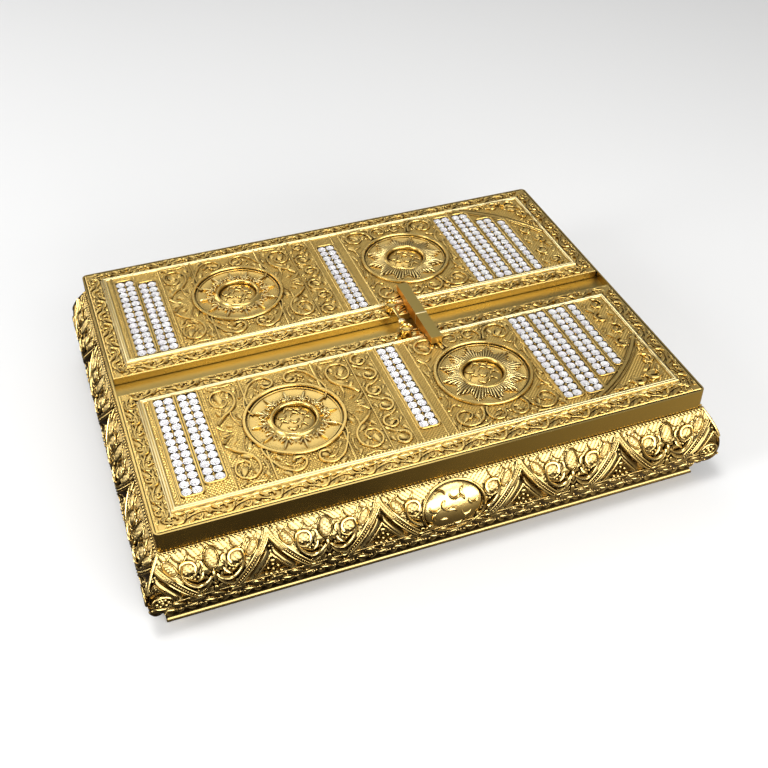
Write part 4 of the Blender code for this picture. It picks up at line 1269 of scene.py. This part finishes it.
def makeSettings(side, word):
    # trough, raised edge and gold prong beads of each strip
    pitch, prong, pocket = stoneDesign["pitch"], stoneDesign["prong"], leafDesign["pocket"]
    field = leafPlace(side)
    paths, beads, troughs = [], [], []
    for x0, x1, y0, y1 in strips.values():
        columns, rows = round((x1 - x0) / pitch), round((y1 - y0) / pitch)
        trough = addBox((x0 - 0.4, y0 - 0.4, -pocket - 0.2), (x1 + 0.4, y1 + 0.4, -pocket + 0.2), unit=1)
        choose(trough, "FACE", lambda face: face.normal.z > 0.9)
        bpy.ops.mesh.inset(thickness=0.25)
        choose(trough, "FACE", lambda face: face.normal.z > 0.9 and abs(face.center.x - (x0 + x1) / 2)
               + abs(face.center.y - (y0 + y1) / 2) > 0.5)
        pushOut(pocket)
        endEdit()
        troughs.append(layOn(trough, field))
        # the edge is square below and rounded above
        radius = min(2.4, (x1 - x0) / 2)
        outline = [(x0 - 0.45, y0 - 0.4), (x0 - 0.45, y1 - 1.6)]
        outline += [(x0 - 0.45 + radius * (1 - math.cos(a)), y1 - 1.6 + 2.4 * math.sin(a))
                    for a in np.linspace(0.3, math.pi / 2, 5)]
        outline += [(x1 + x0 - u, v) for u, v in outline[::-1]]
        paths.append([(u, v, 0.35, 0.7) for u, v in outline])
        for column in range(columns + 1):
            for row in range(rows + 1):
                u, v = x0 + column * pitch, y0 + row * pitch
                inner = 0 < column < columns
                size = prong if inner else prong * 0.8
                u += 0 if inner else (0.35 if column == 0 else -0.35)
                beads.append(spot(field, u, v, (size, size, 0.7), rise=0.15))
                if inner and row < rows:
                    beads.append(spot(field, u, v + pitch / 2, (0.4, 0.55, 0.5), rise=0.1))
    things = troughs + [drawStrokes(paths, field), spread(beadSeed(1), beads)]
    finishPiece(things, word + "Settings", [leafGold], angle=60)


def addStones(spots, finish, low, high, depth, middle, **shape):
    # eight-sided cones between two radii, one at each spot
    pick()
    bpy.ops.mesh.primitive_cone_add(vertices=8, radius1=low, radius2=high, depth=depth,
                                    location=(0, 0, middle), **shape)
    bpy.ops.object.transform_apply(location=True)
    stones = spread(bpy.context.object, spots)
    stones.data.materials.append(finish)
    return stones


def makeStones(side, word):
    d = stoneDesign
    field, pitch, deep = leafPlace(side), d["pitch"], d["backDepth"]
    for number, (x0, x1, y0, y1) in strips.items():
        spots, backs = [], []
        for column in range(round((x1 - x0) / pitch)):
            for row in range(round((y1 - y0) / pitch)):
                u, v = x0 + (column + 0.5) * pitch, y0 + (row + 0.5) * pitch
                turn = random.uniform(0, 45)
                spots.append(spot(field, u, v, (1, 1, 1), turn))
                tilt = random.uniform(-0.12, 0.12), random.uniform(-0.12, 0.12)
                backs.append(spot(field, u + tilt[0], v + tilt[1], (1, 1, 1), turn + 22))
        stones = addStones(spots, clearStone, d["girdle"], d["table"], d["crown"], d["crown"] / 2 + 0.05)
        foils = addStones(backs, silveredBacking, 0.2, d["girdle"], deep, -deep / 2, end_fill_type="NOTHING")
        piece = finishPiece([stones, foils], f"{word}Stones{number}", None, angle=5)
        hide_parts(f"{word}_stones_{number}")


for leafSide, leafWord in ((1, "far"), (-1, "near")):
    makePlate(leafSide, leafWord + "LeafPlate", leafWord + "_door_leaf")
    makeGround(leafSide, leafWord + "LeafGround")
    makeLeafRelief(leafSide, leafWord)
    makeMedallions(leafSide, leafWord)
    makeSettings(leafSide, leafWord)
    makeStones(leafSide, leafWord)
    print(leafWord, "leaf done")


# lock

barLow, barHigh = [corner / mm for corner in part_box("lock_bar")]
rodLow, rodHigh = [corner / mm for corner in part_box("lock_rod")]
lockDesign = {"jointAt": -3.4, "jointWidth": 0.9, "jointRise": 0.2, "shelf": 64.9, "footHalf": 16.1,
              "edge": 0.35, "collarRadius": 2.15, "eyeTube": 0.85, "lug": (4.8, 3.4, 3.4), "lugHeight": 64.0}


def makeBar():
    # flat-topped bar on a foot, with a thin pale joint across it
    d = lockDesign
    joint, half, rise = d["jointAt"], d["jointWidth"] / 2, d["jointRise"]
    bar = addBox((barLow.x + rise, barLow.y, d["shelf"]), (barHigh.x - rise, barHigh.y, barHigh.z - rise))
    bpy.ops.object.mode_set(mode="EDIT")
    for cut in (-d["footHalf"], d["footHalf"], joint - half, joint + half):
        bpy.ops.mesh.select_all(action="SELECT")
        bpy.ops.mesh.bisect(plane_co=(0, cut * mm, 0), plane_no=(0, 1, 0))
    choose(bar, "FACE", lambda face: face.normal.z < -0.9 and abs(face.center.y) < d["footHalf"] * mm)
    pushOut((barLow.z - d["shelf"]) * mm)
    choose(bar, "FACE", lambda face: abs(face.center.y - joint * mm) < 0.1 * mm and abs(face.normal.y) < 0.1
           and face.normal.z > -0.5)
    bpy.ops.mesh.extrude_region_shrink_fatten(TRANSFORM_OT_shrink_fatten={"value": rise * mm})
    endEdit()
    softenEdges(bar, d["edge"], 2)

    def barFinish(face):
        isJoint = abs(face.center.y / mm - joint) < half + 0.1
        return 1 if isJoint else 2 if abs(face.normal.y) > 0.4 else 0

    # the bar's long sides take the orange upright colour: painted reflection
    finishPiece([bar], "lockBar", [brushedGoldPaintedGlow, seamGold, groundGold], angle=30,
                flatFaces=True, paint=barFinish)
    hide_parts("lock_bar")


def makeRod():
    # thin rod with a pale turned collar near its front end
    x, z = (rodLow.x + rodHigh.x) / 2, (rodLow.z + rodHigh.z) / 2
    half, collar = rodHigh.y, lockDesign["collarRadius"]
    profile = [(0.05, -half), (1.1, -half), (1.1, -half + 0.8), (collar - 0.3, -half + 1.1),
               (collar, -half + 1.8), (collar, -half + 3), (collar - 0.3, -half + 3.8), (1.25, -half + 4.2),
               (1, -half + 4.8), (1, half - 1.2), (1.3, half - 0.8), (1.3, half), (0.05, half)]
    rod = layOn(turned(profile, (0, 0), 24), lambda u, v, w: ((x + u) * mm, w * mm, (z + v) * mm))
    finishPiece([rod], "lockRod", [polishedGold, seamGold], angle=35,
                paint=lambda face: -half + 1 < face.center.y / mm < -half + 4)
    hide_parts("lock_rod")


def makeEye(side, word):
    # round cup on the border with a square lug and a small leaf at each side
    low, high = [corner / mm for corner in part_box("lock_staple_" + word)]
    x, y = (low.x + high.x) / 2, (low.y + high.y) / 2
    outer, tall, tube = (high.x - low.x) / 2, high.z, lockDesign["eyeTube"]
    profile = [(outer - 0.5, low.z), (outer - 0.9, tall - 3.4), (outer, tall - 1.6),
               (outer - 0.2, tall - 0.6), (outer - tube, tall), (outer - 2 * tube + 0.2, tall - 0.6),
               (outer - 2 * tube, tall - 1.5), (0.05, tall - 1.5)]
    eye = layOn(turned(profile, (0, 0), 40), lambda u, v, w: ((x + u) * mm, (y + v) * mm, w * mm))
    lugAt = (x, y - side * (outer - 0.6), lockDesign["lugHeight"])
    lug = addBox(*[[a + way * size / 2 for a, size in zip(lugAt, lockDesign["lug"])] for way in (-1, 1)])
    editAll(lug)
    bpy.ops.mesh.bevel(offset=0.45 * mm, segments=2, affect="EDGES")
    endEdit()
    place = leafPlace(1, 62.3)
    leaves = spread(petalSeed(), [spot(place, x + outer + 1.6, y + side, (3, 1.9, 1.6), 15),
                                  spot(place, x - outer - 1.2, y + side, (2.2, 1.6, 1.4), 180)])
    piece = finishPiece([eye, lug, leaves], "lockEye" + word.capitalize(), [polishedGold],
                        angle=35)
    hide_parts("lock_staple_" + word)


makeBar()
makeRod()
makeEye(1, "far")
makeEye(-1, "near")
print("lock done")


# studio: pale floor; a dark sheet just above it that only the gold mirrors, there to paint dark reflections
# into the gold, grading lighter towards +x; soft lights and the camera

studio = {
    "cameraAt": (-0.1672, -0.4688, 0.4484), "cameraTurn": (49.31, 0.0, -20.31), "lens": 51.15,
    "floorColour": (0.82, 0.82, 0.815), "sky": (0.99, 0.99, 1.0), "skyStrength": 0.30,
    "tableDark": (0.030, 0.024, 0.016), "tableLight": (0.36, 0.31, 0.21),
}
# name, place, aim, size and power of each softbox
softboxes = (
    ("frontLow", (0.34, -1.20, 0.36), (0.02, -0.10, 0.10), (1.7, 0.62), 17.0),
    ("frontHigh", (0.30, -1.0, 0.98), (0, 0, 0.05), (0.8, 0.4), 3.4),
    ("backWide", (-0.04, 0.75, 1.05), (0, 0, 0.05), (1.0, 0.6), 2.0),
    ("overhead", (-0.25, -0.15, 1.40), (0, 0, 0.05), (0.40, 0.40), 8.0),
    ("leftFill", (-1.2, -0.25, 0.7), (0, 0, 0.05), (0.35, 0.7), 7.0),
    ("leftBack", (-0.95, 0.85, 0.28), (-0.1, 0, 0.05), (0.9, 0.45), 4.5),
)


def addPlane(name, size, height, finish):
    pick()
    bpy.ops.mesh.primitive_plane_add(size=size, location=(0, 0, height))
    plane = bpy.context.object
    plane.name = name
    plane.data.materials.append(finish)
    return plane


floorFinish, _, _ = newFinish("paleFloor", studio["floorColour"], 0.85, 0.0)
floor = addPlane("paleFloor", 6.0, 0.0, floorFinish)
# the gold does not mirror the floor, only the dark sheet above it: painted dark reflection
floor.visible_glossy = False

# dark sheet, lighter towards +x, unseen by the camera: painted reflections for the gold
tableFinish, addToReflector, shadeReflector = newFinish("paintedReflectionSheet", studio["tableDark"], 1.0, 0.0)
across = addToReflector("SeparateXYZ", "X", {"Vector": addToReflector("TexCoord", "Object", {})})
reflectionGrade = addToReflector("MapRange", "Result", {"Value": across, "From Min": -0.04, "From Max": 0.22})
shadeReflector({"Base Color": addToReflector("Mix", "Result", {
    "Factor": reflectionGrade, "A": (*studio["tableDark"], 1.0), "B": (*studio["tableLight"], 1.0)}, data_type="RGBA")})
table = addPlane("paintedReflectionSheet", 5.0, 0.0006, tableFinish)
table.visible_camera = table.visible_diffuse = table.visible_shadow = table.visible_transmission = False

world = bpy.data.worlds.new("studioSky")
world.use_nodes = True
world.node_tree.nodes["Background"].inputs["Color"].default_value = (*studio["sky"], 1.0)
world.node_tree.nodes["Background"].inputs["Strength"].default_value = studio["skyStrength"]
bpy.context.scene.world = world

for name, at, aim, size, energy in softboxes:
    lamp = bpy.data.lights.new(name, "AREA")
    lamp.shape = "RECTANGLE"
    lamp.size, lamp.size_y = size
    lamp.energy = energy
    thing = bpy.data.objects.new(name, lamp)
    thing.location = at
    thing.rotation_euler = (Vector(aim) - Vector(at)).to_track_quat("-Z", "Y").to_euler()
    bpy.context.scene.collection.objects.link(thing)

cameraData = bpy.data.cameras.new("camera")
cameraData.lens = studio["lens"]
cameraData.clip_start = 0.01
camera = bpy.data.objects.new("camera", cameraData)
camera.location = studio["cameraAt"]
camera.rotation_euler = [math.radians(angle) for angle in studio["cameraTurn"]]
bpy.context.scene.collection.objects.link(camera)
bpy.context.scene.camera = camera
bpy.context.scene.view_settings.view_transform = "Standard"
print("studio done")
